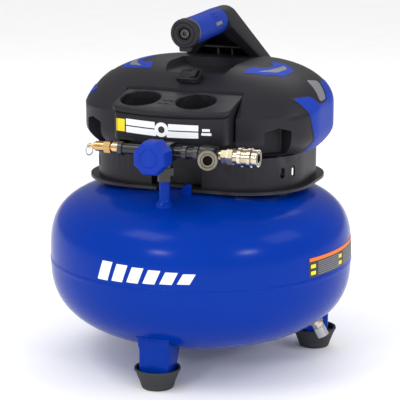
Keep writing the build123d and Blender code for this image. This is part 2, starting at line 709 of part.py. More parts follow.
with BuildPart() as console:
    add(console_outer)
    fillet(console.edges().group_by(Axis.Y)[0].filter_by(GeomType.LINE, reverse=True), 3)
    add(console_inner, mode=Mode.SUBTRACT)
    for well in well_planes:
        with BuildSketch(well.offset(-WELL_DEPTH)):
            Circle(WELL_RADIUS + WELL_WALL)
        extrude(amount=WELL_DEPTH - 1)
    for well in well_planes:
        with BuildSketch(well.offset(-WELL_DEPTH)):
            Circle(WELL_RADIUS)
        extrude(amount=WELL_DEPTH + 20, mode=Mode.SUBTRACT)
    with BuildSketch(Plane.XY.offset(CONSOLE_BOTTOM_Z - 1)):
        with Locations((SWITCH_X, NIPPLE_Y)):
            Circle(NIPPLE_RADIUS + FREE_GAP)
    extrude(amount=6, mode=Mode.SUBTRACT)
keep(console.part, "console")

# Gauges stand at the bottom of the wells.
for side, well in zip(("left", "right"), well_planes):
    with BuildPart() as gauge_case:
        with BuildSketch(well.offset(-WELL_DEPTH)):
            Circle(WELL_RADIUS)
        extrude(amount=WELL_DEPTH - GAUGE_DEPTH)
        with BuildSketch(well.offset(-WELL_DEPTH + 3)):
            Circle(WELL_RADIUS - 2)
        extrude(amount=WELL_DEPTH, mode=Mode.SUBTRACT)
        with BuildSketch(well.offset(-WELL_DEPTH - 4)):
            Circle(5.5)
        extrude(amount=4)
        with BuildSketch(well.offset(-GAUGE_DEPTH - 6)):
            Circle(WELL_RADIUS - 1)
        extrude(amount=1)
        with BuildSketch(well.offset(-GAUGE_DEPTH - 8)):
            Circle(1.6)
        extrude(amount=8, mode=Mode.SUBTRACT)
    keep(gauge_case.part, f"gauge_{side}_case")

    with BuildPart() as gauge_needle:
        with BuildSketch(well.offset(-GAUGE_DEPTH - 4)):
            Circle(3)
            with BuildLine():
                Polyline((-1.3, 0), (1.3, 0), (0.3, 19), (-0.3, 19), close=True)
            make_face()
            with BuildLine():
                Polyline((-1.6, 0), (-1.6, -7), (1.6, -7), (1.6, 0), close=True)
            make_face()
        extrude(amount=1)
        with BuildSketch(well.offset(-GAUGE_DEPTH - 7)):
            Circle(1.2)
        extrude(amount=4)
    needle_start = Axis(well.origin, well.z_dir)
    keep(gauge_needle.part.rotate(needle_start, 135), f"gauge_{side}_needle")

    with BuildPart() as gauge_lens:
        with BuildSketch(well.offset(-GAUGE_DEPTH - 2)):
            Circle(WELL_RADIUS - 2)
        extrude(amount=1.5)
    keep(gauge_lens.part, f"gauge_{side}_lens")

# Blue end panels and top inlays: thin skins let into the cowl's surface.
inlays = []
for side, mirror_x in (("right", 1), ("left", -1)):
    with BuildPart() as end_panel:
        with BuildSketch(Plane.YZ.offset(0)):
            with BuildLine():
                Polyline(
                    (-28, 372),
                    (-6, 378),
                    (20, 362),
                    (44, 366),
                    (52, 392),
                    (92, 388),
                    (118, 352),
                    (118, 326),
                    (84, 301),
                    (4, 301),
                    (-12, 308),
                    (8, 316),
                    (8, 350),
                    close=True,
                )
            make_face()
        extrude(amount=mirror_x * COWL_WIDTH)
        add(cowl_outer, mode=Mode.INTERSECT)
        add(cowl_under_inlays, mode=Mode.SUBTRACT)
        with BuildSketch(Plane.YZ.offset(0)):
            Rectangle(COWL_DEPTH * 2, COWL_TOP_Z * 2)
        extrude(amount=mirror_x * 118, mode=Mode.SUBTRACT)
    inlays.append(end_panel.part)
    keep(end_panel.part, f"end_panel_{side}")

    with BuildPart() as top_inlay:
        with BuildSketch(Plane.XY.offset(COWL_WIDE_Z + 40)):
            with BuildLine():
                Polyline(
                    (mirror_x * 62, -2),
                    (mirror_x * 98, -4),
                    (mirror_x * 112, 30),
                    (mirror_x * 98, 62),
                    (mirror_x * 74, 58),
                    (mirror_x * 84, 26),
                    close=True,
                )
            make_face()
        extrude(amount=100)
        add(cowl_outer, mode=Mode.INTERSECT)
        add(cowl_under_inlays, mode=Mode.SUBTRACT)
    inlays.append(top_inlay.part)
    keep(top_inlay.part, f"top_inlay_{side}")

# Cowl: the hollow upper shell, notched for the console and dished under the grip.
ROCKER_Y = -37.0
ROCKER_Z = 395.5
SWITCH_TILT = 33.0
switch_normal = (0, -sin(radians(SWITCH_TILT)), cos(radians(SWITCH_TILT)))
switch_plane = Plane(origin=(0, ROCKER_Y, ROCKER_Z), x_dir=(1, 0, 0), z_dir=switch_normal)
SWITCH_HALF_WIDTH = 17.0
SWITCH_HALF_HEIGHT = 11.0
with BuildPart() as valley:
    with BuildSketch(Plane.YZ.offset(-VALLEY_WIDTH / 2)):
        with BuildLine():
            Polyline(
                (VALLEY_FRONT_Y, VALLEY_FLOOR_Z + 30),
                (VALLEY_FRONT_Y, VALLEY_FLOOR_Z + 4),
                (VALLEY_FRONT_Y + 12, VALLEY_FLOOR_Z),
                (VALLEY_BACK_Y, VALLEY_FLOOR_Z),
                (VALLEY_BACK_Y, VALLEY_FLOOR_Z + 30),
                close=True,
            )
        make_face()
    extrude(amount=VALLEY_WIDTH)
    chamfer(valley.edges().filter_by(Axis.Y).group_by(Axis.Z)[0], 12)

with BuildPart() as valley_outer:
    with BuildSketch(Plane.XY.offset(VALLEY_FLOOR_Z - SHROUD_WALL)):
        with Locations((0, (VALLEY_FRONT_Y + VALLEY_BACK_Y) / 2)):
            Rectangle(
                VALLEY_WIDTH + 2 * SHROUD_WALL, VALLEY_BACK_Y - VALLEY_FRONT_Y + 2 * SHROUD_WALL
            )
    extrude(amount=40)

with BuildPart() as switch_hole:
    with BuildSketch(switch_plane.offset(-20)):
        Rectangle(2 * SWITCH_HALF_WIDTH - 6, 2 * SWITCH_HALF_HEIGHT - 6)
    extrude(amount=40)

with BuildPart() as cowl:
    add(cowl_outer)
    add(cowl_inner - valley_outer.part, mode=Mode.SUBTRACT)
    with BuildSketch(Plane.XY.offset(SKIRT_TOP_Z - 5)):
        with Locations((0, SKIRT_CENTRE_Y)):
            RectangleRounded(
                SKIRT_WIDTH - 2 * SHROUD_WALL - 10,
                SKIRT_DEPTH - 2 * SHROUD_WALL - 16,
                SKIRT_CORNER - SHROUD_WALL - 8,
            )
    extrude(amount=15, mode=Mode.SUBTRACT)
    add(valley.part, mode=Mode.SUBTRACT)
    add(console_outer, mode=Mode.SUBTRACT)
    add(switch_hole.part, mode=Mode.SUBTRACT)
    for inlay in inlays:
        add(inlay, mode=Mode.SUBTRACT)
    for slot_side in (-1, 1):
        with BuildSketch(Plane(origin=(slot_side * 62, 120, 345), x_dir=(1, 0, 0), z_dir=(0, 1, 0))):
            with GridLocations(0, 11, 1, 5):
                SlotOverall(62, 5)
        extrude(amount=60, mode=Mode.SUBTRACT)
keep(cowl.part, "shroud_cowl")

# Rocker switch on the slope above the console.
ROCKER_HALF = 10.0
ROCKER_TILT = 7.0
with BuildPart() as switch_bezel:
    with BuildSketch(switch_plane.offset(-6)):
        with BuildLine():
            Polyline(
                (-SWITCH_HALF_WIDTH, -SWITCH_HALF_HEIGHT),
                (SWITCH_HALF_WIDTH - 4, -SWITCH_HALF_HEIGHT),
                (SWITCH_HALF_WIDTH, 0),
                (SWITCH_HALF_WIDTH - 5, SWITCH_HALF_HEIGHT),
                (-SWITCH_HALF_WIDTH + 3, SWITCH_HALF_HEIGHT),
                close=True,
            )
        make_face()
    extrude(amount=12)
    add(cowl_outer, mode=Mode.SUBTRACT)
    with BuildSketch(switch_plane.offset(-8)):
        Rectangle(2 * SWITCH_HALF_WIDTH - 6, 2 * SWITCH_HALF_HEIGHT - 6)
    extrude(amount=12)
    with BuildSketch(switch_plane.offset(-4)):
        Rectangle(2 * ROCKER_HALF + 2, 2 * SWITCH_HALF_HEIGHT - 8)
    extrude(amount=20, mode=Mode.SUBTRACT)
keep(switch_bezel.part, "switch_bezel")

rocker_across = (0, -cos(radians(SWITCH_TILT)), -sin(radians(SWITCH_TILT)))
rocker_plane = Plane(origin=switch_plane.origin, x_dir=(1, 0, 0), z_dir=rocker_across)
with BuildPart() as rocker_switch:
    with BuildSketch(rocker_plane.offset(-(SWITCH_HALF_HEIGHT - 4.5))):
        with BuildLine():
            Polyline(
                (-ROCKER_HALF, 7.5),
                (0, 5.5),
                (ROCKER_HALF, 7.5),
                (ROCKER_HALF, 2),
                (4, -1.5),
                (-4, -1.5),
                (-ROCKER_HALF, 2),
                close=True,
            )
        make_face()
    extrude(amount=2 * SWITCH_HALF_HEIGHT - 9)
rocker_axis = Axis(rocker_plane.origin, rocker_plane.z_dir)
keep(rocker_switch.part.rotate(rocker_axis, ROCKER_TILT), "rocker_switch")

# Carrying handle: an A-frame hood at the back and a grip that reaches forward from it.
HANDLE_PLANE = Plane(origin=(0, ARM_BACK_FOOT_Y, 0), x_dir=(1, 0, 0), z_dir=(0, -1, 0))
ARM_FOOT_Z = ARM_APEX_Z - ARM_FOOT_X * tan(radians(ARM_SLOPE))
GRIP_AXIS = (0, 1, GRIP_RISE)
grip_plane = Plane(origin=GRIP_FRONT, x_dir=(1, 0, 0), z_dir=GRIP_AXIS)


def leaning_slab(back_wall):
    """The leaning slab that the handle is cut from, its back face moved forward by the back wall."""
    with BuildPart() as slab:
        with BuildSketch(Plane.YZ.offset(-ARM_FOOT_X)):
            with BuildLine():
                Polyline(
                    (ARM_FRONT_Y, ARM_APEX_Z),
                    (ARM_FRONT_Y, ARM_BEND_Z),
                    (ARM_FRONT_FOOT_Y, ARM_BASE_Z),
                    (ARM_BACK_FOOT_Y - back_wall, ARM_BASE_Z),
                    (ARM_BACK_Y - back_wall, ARM_APEX_Z),
                    close=True,
                )
            make_face()
        extrude(amount=2 * ARM_FOOT_X)
    return slab.part


with BuildPart() as hood_space:
    with BuildSketch(HANDLE_PLANE):
        with BuildLine():
            Polyline(
                (-HOOD_FOOT_X, ARM_BASE_Z),
                (-HOOD_FOOT_X, HOOD_FOOT_Z),
                (0, HOOD_APEX_Z),
                (HOOD_FOOT_X, HOOD_FOOT_Z),
                (HOOD_FOOT_X, ARM_BASE_Z),
                close=True,
            )
        make_face()
        fillet(vertices().group_by(Axis.Y)[-1], HOOD_APEX_RADIUS)
    extrude(amount=ARM_BACK_FOOT_Y)
    add(leaning_slab(HOOD_BACK_WALL), mode=Mode.INTERSECT)

with BuildPart() as handle_frame:
    with BuildSketch(HANDLE_PLANE):
        with BuildLine():
            Polyline(
                (-ARM_FOOT_X, ARM_BASE_Z),
                (-ARM_FOOT_X, ARM_FOOT_Z),
                (0, ARM_APEX_Z),
                (ARM_FOOT_X, ARM_FOOT_Z),
                (ARM_FOOT_X, ARM_BASE_Z),
                close=True,
            )
        make_face()
        fillet(vertices().group_by(Axis.Y)[-1], ARM_APEX_RADIUS)
    extrude(amount=ARM_BACK_FOOT_Y)
    add(leaning_slab(0), mode=Mode.INTERSECT)
    add(hood_space.part, mode=Mode.SUBTRACT)
    add(cowl_outer, mode=Mode.SUBTRACT)
    with BuildSketch(grip_plane.offset(-10)):
        Circle(GRIP_RADIUS)
    extrude(amount=GRIP_LENGTH + 10, mode=Mode.SUBTRACT)
    with BuildSketch(grip_plane):
        Circle(GRIP_CORE_RADIUS)
    extrude(amount=GRIP_LENGTH + 20)
    with BuildSketch(grip_plane.offset(-10)):
        Circle(3)
    extrude(amount=35, mode=Mode.SUBTRACT)
keep(handle_frame.part, "handle_frame")

with BuildPart() as grip_sleeve:
    with BuildSketch(grip_plane):
        Circle(GRIP_RADIUS)
        Circle(GRIP_CORE_RADIUS, mode=Mode.SUBTRACT)
    extrude(amount=GRIP_LENGTH)
keep(grip_sleeve.part, "grip_sleeve")

with BuildPart() as grip_end_cap:
    with BuildSketch(grip_plane.offset(-CAP_DEPTH)):
        Circle(CAP_RADIUS)
        with Locations((0, -CAP_RADIUS + 4)):
            Rectangle(10, 11)
    extrude(amount=CAP_DEPTH)
    chamfer(grip_end_cap.faces().sort_by(Axis.Y)[0].edges(), 2)
    with BuildSketch(grip_plane.offset(-CAP_DEPTH)):
        Circle(8)
    extrude(amount=6, mode=Mode.SUBTRACT)
    with BuildSketch(grip_plane.offset(-CAP_DEPTH)):
        Circle(3)
    extrude(amount=CAP_DEPTH, mode=Mode.SUBTRACT)
keep(grip_end_cap.part, "grip_end_cap")

with BuildPart() as grip_screw:
    with BuildSketch(grip_plane.offset(-CAP_DEPTH + 2.5)):
        Circle(6)
    extrude(amount=3.5)
    with BuildSketch(grip_plane.offset(-CAP_DEPTH + 2.5)):
        RegularPolygon(3, 6)
    extrude(amount=2.5, mode=Mode.SUBTRACT)
    with BuildSketch(grip_plane.offset(-CAP_DEPTH + 6)):
        Circle(3)
    extrude(amount=30)
keep(grip_screw.part, "grip_screw")

# Pump support: four welded pads and a small front tab, rubber mounts and a folded cradle.
pad_spots = [(x, y) for x in (-84, 84) for y in (-24, 84)]
with BuildPart() as mount_pads:
    with BuildSketch(Plane.XY.offset(SEAM_Z)):
        with Locations(*pad_spots):
            Circle(11)
    extrude(amount=PAD_TOP_Z - SEAM_Z)
    with BuildSketch(Plane(origin=(15, -94, 0), x_dir=(1, 0, 0), z_dir=(0, -1, 0))):
        with BuildLine():
            Polyline((-7, SEAM_Z), (7, SEAM_Z), (7, 262), (1, 262), (-7, 254), close=True)
        make_face()
    extrude(amount=3)
    add(tank_envelope.part, mode=Mode.SUBTRACT)
keep(mount_pads.part, "mount_pads")

with BuildPart() as rubber_mounts:
    with BuildSketch(Plane.XY.offset(PAD_TOP_Z)):
        with Locations(*pad_spots):
            Circle(11)
    extrude(amount=CRADLE_Z - PAD_TOP_Z)
keep(rubber_mounts.part, "rubber_mounts")

CRADLE_TOP_Z = CRADLE_Z + 3.0
with BuildPart() as pump_cradle:
    with BuildSketch(Plane.XY.offset(CRADLE_Z)):
        with Locations((0, PUMP_Y)):
            RectangleRounded(200, 130, 10)
    extrude(amount=CRADLE_TOP_Z - CRADLE_Z)
    with BuildSketch(Plane.XY.offset(CRADLE_TOP_Z)):
        with Locations((STATOR_LEFT_X + 14, PUMP_Y), (STATOR_RIGHT_X - 14, PUMP_Y)):
            Rectangle(8, 90)
    extrude(amount=36)
    with BuildSketch(Plane(origin=(STATOR_LEFT_X - 20, PUMP_Y, CRANK_Z), x_dir=(0, 1, 0), z_dir=(1, 0, 0))):
        Circle(STATOR_RADIUS)
    extrude(amount=140, mode=Mode.SUBTRACT)
keep(pump_cradle.part, "pump_cradle")

SHAFT_PLANE = Plane(origin=(0, PUMP_Y, CRANK_Z), x_dir=(0, 1, 0), z_dir=(1, 0, 0))
with BuildPart() as motor_stator:
    with BuildSketch(SHAFT_PLANE.offset(STATOR_LEFT_X)):
        Circle(STATOR_RADIUS)
        Circle(STATOR_BORE, mode=Mode.SUBTRACT)
    extrude(amount=STATOR_RIGHT_X - STATOR_LEFT_X)
    with BuildSketch(SHAFT_PLANE.offset(STATOR_LEFT_X - 6)):
        Circle(STATOR_RADIUS)
        Circle(SHAFT_RADIUS + RUNNING_GAP, mode=Mode.SUBTRACT)
        with PolarLocations(34, 6):
            Circle(9, mode=Mode.SUBTRACT)
    extrude(amount=6)
keep(motor_stator.part, "motor_stator")

with BuildPart() as motor_rotor:
    with BuildSketch(SHAFT_PLANE.offset(STATOR_LEFT_X + 5)):
        Circle(ROTOR_RADIUS)
        Circle(SHAFT_RADIUS, mode=Mode.SUBTRACT)
    extrude(amount=STATOR_RIGHT_X - STATOR_LEFT_X - 10)
keep(motor_rotor.part, "motor_rotor")

CRANK_DISC_X = 68.0
CRANK_PIN_X = 74.0
with BuildPart() as crank_shaft:
    with BuildSketch(SHAFT_PLANE.offset(-98)):
        Circle(SHAFT_RADIUS)
    extrude(amount=CRANK_DISC_X + 98)
    with BuildSketch(SHAFT_PLANE.offset(CRANK_DISC_X)):
        Circle(18)
    extrude(amount=CRANK_PIN_X - CRANK_DISC_X)
    with BuildSketch(SHAFT_PLANE.offset(CRANK_PIN_X)):
        with Locations((CRANK_THROW, 0)):
            Circle(CRANK_PIN_RADIUS)
    extrude(amount=20)
keep(crank_shaft.part, "crank_shaft")

with BuildPart() as cooling_fan:
    with BuildSketch(SHAFT_PLANE.offset(-92)):
        Circle(13)
        Circle(SHAFT_RADIUS, mode=Mode.SUBTRACT)
    extrude(amount=16)
    with BuildSketch(SHAFT_PLANE.offset(-79)):
        Circle(46)
        Circle(SHAFT_RADIUS, mode=Mode.SUBTRACT)
    extrude(amount=2)
    with BuildSketch(SHAFT_PLANE.offset(-92)):
        with PolarLocations(29, 10):
            Rectangle(34, 2)
    extrude(amount=13)
keep(cooling_fan.part, "cooling_fan")

with BuildPart() as crankcase:
    with BuildSketch(Plane.XY.offset(CRADLE_TOP_Z)):
        with Locations((CYLINDER_X, PUMP_Y)):
            RectangleRounded(72, 80, 8)
    extrude(amount=CASE_TOP_Z - CRADLE_TOP_Z)
    with BuildSketch(Plane.XY.offset(CRADLE_TOP_Z + 8)):
        with Locations((CYLINDER_X, PUMP_Y)):
            RectangleRounded(62, 68, 4)
    extrude(amount=CASE_TOP_Z - CRADLE_TOP_Z, mode=Mode.SUBTRACT)
    with BuildSketch(SHAFT_PLANE.offset(CYLINDER_X - 41)):
        Circle(15)
    extrude(amount=10)
    with BuildSketch(SHAFT_PLANE.offset(CYLINDER_X - 42)):
        Circle(SHAFT_RADIUS + RUNNING_GAP)
    extrude(amount=14, mode=Mode.SUBTRACT)
keep(crankcase.part, "crankcase")

FIN_RADIUS = 38.0
with BuildPart() as pump_cylinder:
    with BuildSketch(Plane.XY.offset(CASE_TOP_Z)):
        with Locations((CYLINDER_X, PUMP_Y)):
            Circle(BORE_RADIUS + 3.5)
            Circle(BORE_RADIUS, mode=Mode.SUBTRACT)
    extrude(amount=CYLINDER_TOP_Z - CASE_TOP_Z)
    for fin_z in range(int(CASE_TOP_Z), int(CYLINDER_TOP_Z) - 1, 6):
        with BuildSketch(Plane.XY.offset(fin_z)):
            with Locations((CYLINDER_X, PUMP_Y)):
                Circle(FIN_RADIUS)
                Circle(BORE_RADIUS, mode=Mode.SUBTRACT)
        extrude(amount=2)
keep(pump_cylinder.part, "pump_cylinder")

# The rod's eye is wider than the crank pin's whole orbit, so rod and crank stay clear.
EYE_RADIUS = CRANK_PIN_RADIUS + 2 * CRANK_THROW + FREE_GAP
ROD_X = 79.0
ROD_PLANE = SHAFT_PLANE.offset(ROD_X)
PISTON_Z = CRANK_Z + EYE_RADIUS + 23
with BuildPart() as piston_rod:
    with BuildSketch(ROD_PLANE):
        Circle(EYE_RADIUS + 5)
        with Locations((0, EYE_RADIUS + 12)):
            Rectangle(14, 24)
        Circle(EYE_RADIUS, mode=Mode.SUBTRACT)
    extrude(amount=10)
    with BuildSketch(Plane.XY.offset(PISTON_Z)):
        with Locations((CYLINDER_X, PUMP_Y)):
            Circle(BORE_RADIUS - FREE_GAP)
    extrude(amount=7)
keep(piston_rod.part, "piston_rod")

TUBE_Z = 388.0
TUBE_RADIUS = 4.0
with BuildPart() as cylinder_head:
    with BuildSketch(Plane.XY.offset(CYLINDER_TOP_Z)):
        with Locations((CYLINDER_X, PUMP_Y)):
            Circle(HEAD_RADIUS)
    extrude(amount=HEAD_TOP_Z - CYLINDER_TOP_Z)
    with BuildSketch(Plane.XY.offset(HEAD_TOP_Z - 5)):
        with Locations((CYLINDER_X, PUMP_Y)):
            with GridLocations(7, 0, 8, 1):
                Rectangle(3.5, 90)
    extrude(amount=5, mode=Mode.SUBTRACT)
    with BuildSketch(Plane(origin=(CYLINDER_X, PUMP_Y, TUBE_Z), x_dir=(1, 0, 0), z_dir=(0, 1, 0))):
        Circle(TUBE_RADIUS)
    extrude(amount=60, mode=Mode.SUBTRACT)
    with BuildSketch(Plane.XY.offset(CYLINDER_TOP_Z)):
        with Locations((CYLINDER_X, PUMP_Y)):
            with PolarLocations(HEAD_RADIUS - 6, 4, start_angle=45):
                Circle(2.5)
    extrude(amount=40, mode=Mode.SUBTRACT)
keep(cylinder_head.part, "cylinder_head")

with BuildPart() as head_bolts:
    with BuildSketch(Plane.XY.offset(CYLINDER_TOP_Z)):
        with Locations((CYLINDER_X, PUMP_Y)):
            with PolarLocations(HEAD_RADIUS - 6, 4, start_angle=45):
                Circle(2.5)
    extrude(amount=HEAD_TOP_Z - CYLINDER_TOP_Z)
    with BuildSketch(Plane.XY.offset(HEAD_TOP_Z)):
        with Locations((CYLINDER_X, PUMP_Y)):
            with PolarLocations(HEAD_RADIUS - 6, 4, start_angle=45):
                RegularPolygon(4.5, 6)
    extrude(amount=3)
keep(head_bolts.part, "head_bolts")

CHECK_VALVE_TOP_Z = 266.0
with BuildPart() as discharge_tube:
    with BuildLine() as tube_path:
        FilletPolyline(
            (CYLINDER_X, PUMP_Y + 20, TUBE_Z),
            (CYLINDER_X, CHECK_VALVE_Y, TUBE_Z),
            (CYLINDER_X, CHECK_VALVE_Y, CHECK_VALVE_TOP_Z),
            radius=16,
        )
    with BuildSketch(Plane(origin=tube_path.line @ 0, z_dir=tube_path.line % 0)):
        Circle(TUBE_RADIUS)
    sweep(path=tube_path.line)
keep(discharge_tube.part, "discharge_tube")

CHECK_BORE = 5.0
with BuildPart() as check_valve_body:
    with BuildSketch(Plane.XY.offset(200)):
        with Locations((CHECK_VALVE_X, CHECK_VALVE_Y)):
            Circle(8)
    extrude(amount=CHECK_VALVE_TOP_Z - 200)
    with BuildSketch(Plane.XY.offset(250)):
        with Locations((CHECK_VALVE_X, CHECK_VALVE_Y)):
            RegularPolygon(11, 6)
    extrude(amount=10)
    add(tank_envelope.part, mode=Mode.SUBTRACT)
    with BuildSketch(Plane.XY.offset(200)):
        with Locations((CHECK_VALVE_X, CHECK_VALVE_Y)):
            Circle(CHECK_BORE)
    extrude(amount=CHECK_VALVE_TOP_Z - 203, mode=Mode.SUBTRACT)
keep(check_valve_body.part, "check_valve_body")

with BuildPart() as check_valve_poppet:
    with BuildSketch(Plane.XY.offset(CHECK_VALVE_TOP_Z - 12)):
        with Locations((CHECK_VALVE_X, CHECK_VALVE_Y)):
            Circle(CHECK_BORE - FREE_GAP)
    extrude(amount=8.5)
    fillet(check_valve_poppet.edges().group_by(Axis.Z)[-1], 2)
keep(check_valve_poppet.part, "check_valve_poppet")
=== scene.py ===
"""The looks of a pancake air compressor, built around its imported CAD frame.

Sizes are in millimetres in the frame's own axes: +X is the product's right, -Y its front, +Z up.
Each mesh is built at that size and brought to metres when it becomes a piece.
"""

import logging
import math
from collections.abc import Callable, Iterable, Sequence
from dataclasses import dataclass
from enum import Enum

import bmesh
import bpy
from mathutils import Matrix, Vector


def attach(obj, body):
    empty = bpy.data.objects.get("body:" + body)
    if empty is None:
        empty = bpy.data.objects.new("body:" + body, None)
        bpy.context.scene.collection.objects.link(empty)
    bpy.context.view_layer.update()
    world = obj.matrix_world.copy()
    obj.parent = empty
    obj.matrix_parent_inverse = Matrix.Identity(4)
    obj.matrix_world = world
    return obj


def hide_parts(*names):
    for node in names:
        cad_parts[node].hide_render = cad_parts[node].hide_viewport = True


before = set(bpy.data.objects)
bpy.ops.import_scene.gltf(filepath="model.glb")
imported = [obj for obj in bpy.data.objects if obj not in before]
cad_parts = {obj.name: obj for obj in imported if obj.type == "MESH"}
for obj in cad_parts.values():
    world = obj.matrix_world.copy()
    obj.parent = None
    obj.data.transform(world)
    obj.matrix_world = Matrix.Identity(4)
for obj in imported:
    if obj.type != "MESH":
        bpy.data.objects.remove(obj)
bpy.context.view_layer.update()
LOG = logging.getLogger("compressor")
MM = 0.001
MERGE = 0.002

Colour = tuple[float, float, float]
Point2 = tuple[float, float]
Point3 = tuple[float, float, float]


# ---------------------------------------------------------------- shader graphs


def srgb(red: int, green: int, blue: int) -> Colour:
    """Turns an 8-bit display colour into the linear colour that shaders use."""
    return tuple(((c / 255 + 0.055) / 1.055) ** 2.4 if c > 10 else c / 255 / 12.92 for c in (red, green, blue))


class Graph:
    """Adds and joins the nodes of one node tree."""

    def __init__(self, tree: bpy.types.NodeTree) -> None:
        """Keeps the tree that the nodes go into."""
        self.tree = tree

    def add(self, kind: str, values: dict | None = None, **settings: object) -> bpy.types.Node:
        """Adds a node.

        Args:
            kind: The node's type name.
            values: A value, or a socket to join, for each named or numbered input.
            settings: The node's own properties.

        Returns:
            The new node.
        """
        node = self.tree.nodes.new(kind)
        for name, value in settings.items():
            setattr(node, name, value)
        for key, value in (values or {}).items():
            if isinstance(value, bpy.types.NodeSocket):
                self.tree.links.new(value, node.inputs[key])
            else:
                node.inputs[key].default_value = value
        return node

    def maths(self, operation: str, first: object, second: object = 0.0) -> bpy.types.NodeSocket:
        """Adds a Math node and returns its value."""
        return self.add("ShaderNodeMath", {0: first, 1: second}, operation=operation).outputs[0]

    def blend(self, share: object, low: object, high: object) -> bpy.types.NodeSocket:
        """Mixes two colours by a share and returns the colour."""
        values = {0: share, 6: rgba(low), 7: rgba(high)}
        return self.add("ShaderNodeMix", values, data_type="RGBA").outputs[2]

    def remap(self, value: object, span: Point2, out: Point2) -> bpy.types.NodeSocket:
        """Maps one range of a value to another, clamped, and returns the result."""
        values = {0: value, 1: span[0], 2: span[1], 3: out[0], 4: out[1]}
        return self.add("ShaderNodeMapRange", values).outputs[0]

    def group(self, name: str, **values: object) -> bpy.types.Node:
        """Places a shared effect with its own values."""
        node = self.add("ShaderNodeGroup", node_tree=bpy.data.node_groups[name])
        for key, value in values.items():
            if isinstance(value, bpy.types.NodeSocket):
                self.tree.links.new(value, node.inputs[key])
            else:
                node.inputs[key].default_value = value
        return node


def rgba(colour: object) -> object:
    """Gives a plain colour its alpha, and leaves a socket alone."""
    return colour if isinstance(colour, bpy.types.NodeSocket) else (*colour, 1.0)


def new_effect(name: str, inputs: Sequence[tuple[str, str, float]], outputs: Sequence[str]) -> Graph:
    """Starts a shader node group.

    Args:
        name: The effect's name.
        inputs: Each input's name, socket type and default value.
        outputs: The names of the values it puts out.

    Returns:
        The graph of the new group.
    """
    tree = bpy.data.node_groups.new(name, "ShaderNodeTree")
    tree.interface.new_socket(name="Place", in_out="INPUT", socket_type="NodeSocketVector")
    for label, kind, value in inputs:
        socket = tree.interface.new_socket(name=label, in_out="INPUT", socket_type=kind)
        socket.default_value = value
    for label in outputs:
        tree.interface.new_socket(name=label, in_out="OUTPUT", socket_type="NodeSocketFloat")
    return Graph(tree)


def build_effects() -> None:
    """Builds the shared effects: moulded grain, lighter edges that are worn and, on the shroud, a painted highlight,
    and settled dust.
    """
    grain = new_effect(
        "surface_grain",
        [("Grain Scale", "NodeSocketFloat", 900.0), ("Tone Scale", "NodeSocketFloat", 9.0)],
        ["Height", "Tone"],
    )
    given = grain.add("NodeGroupInput").outputs
    pits = grain.add("ShaderNodeTexVoronoi", {"Vector": given["Place"], "Scale": given["Grain Scale"]})
    fine = grain.add(
        "ShaderNodeTexNoise", {"Vector": given["Place"], "Scale": given["Grain Scale"], "Detail": 3.0}
    )
    broad = grain.add(
        "ShaderNodeTexNoise", {"Vector": given["Place"], "Scale": given["Tone Scale"], "Detail": 4.0}
    )
    height = grain.maths("ADD", grain.maths("MULTIPLY", pits.outputs["Distance"], 0.5), fine.outputs[0])
    grain.add("NodeGroupOutput", {"Height": height, "Tone": grain.remap(broad.outputs[0], (0.3, 0.7), (0, 1))})

    # Lighter sharp edges: rubbed wear, and on the charcoal shroud also a painted highlight in place of the light a
    # rounded bevel would catch.
    wear_and_highlight = new_effect("edge_wear_and_highlight", [("Amount", "NodeSocketFloat", 0.5)], ["Mask"])
    given = wear_and_highlight.add("NodeGroupInput").outputs
    edge = wear_and_highlight.remap(wear_and_highlight.add("ShaderNodeNewGeometry").outputs["Pointiness"], (0.53, 0.62), (0, 1))
    patchy = wear_and_highlight.add("ShaderNodeTexNoise", {"Vector": given["Place"], "Scale": 60.0, "Detail": 5.0})
    worn_and_highlighted = wear_and_highlight.maths("MULTIPLY", edge, wear_and_highlight.remap(patchy.outputs[0], (0.4, 0.6), (0.2, 1)))
    wear_and_highlight.add("NodeGroupOutput", {"Mask": wear_and_highlight.maths("MULTIPLY", worn_and_highlighted, given["Amount"])})

    dust = new_effect("settled_dust", [("Amount", "NodeSocketFloat", 0.1)], ["Mask"])
    given = dust.add("NodeGroupInput").outputs
    normal = dust.add("ShaderNodeNewGeometry").outputs["Normal"]
    upward = dust.add("ShaderNodeSeparateXYZ", {0: normal}).outputs[2]
    drift = dust.add("ShaderNodeTexNoise", {"Vector": given["Place"], "Scale": 35.0, "Detail": 6.0})
    lying = dust.maths("MULTIPLY", dust.remap(upward, (0.2, 1), (0, 1)), drift.outputs[0])
    dust.add("NodeGroupOutput", {"Mask": dust.maths("MULTIPLY", lying, given["Amount"])})


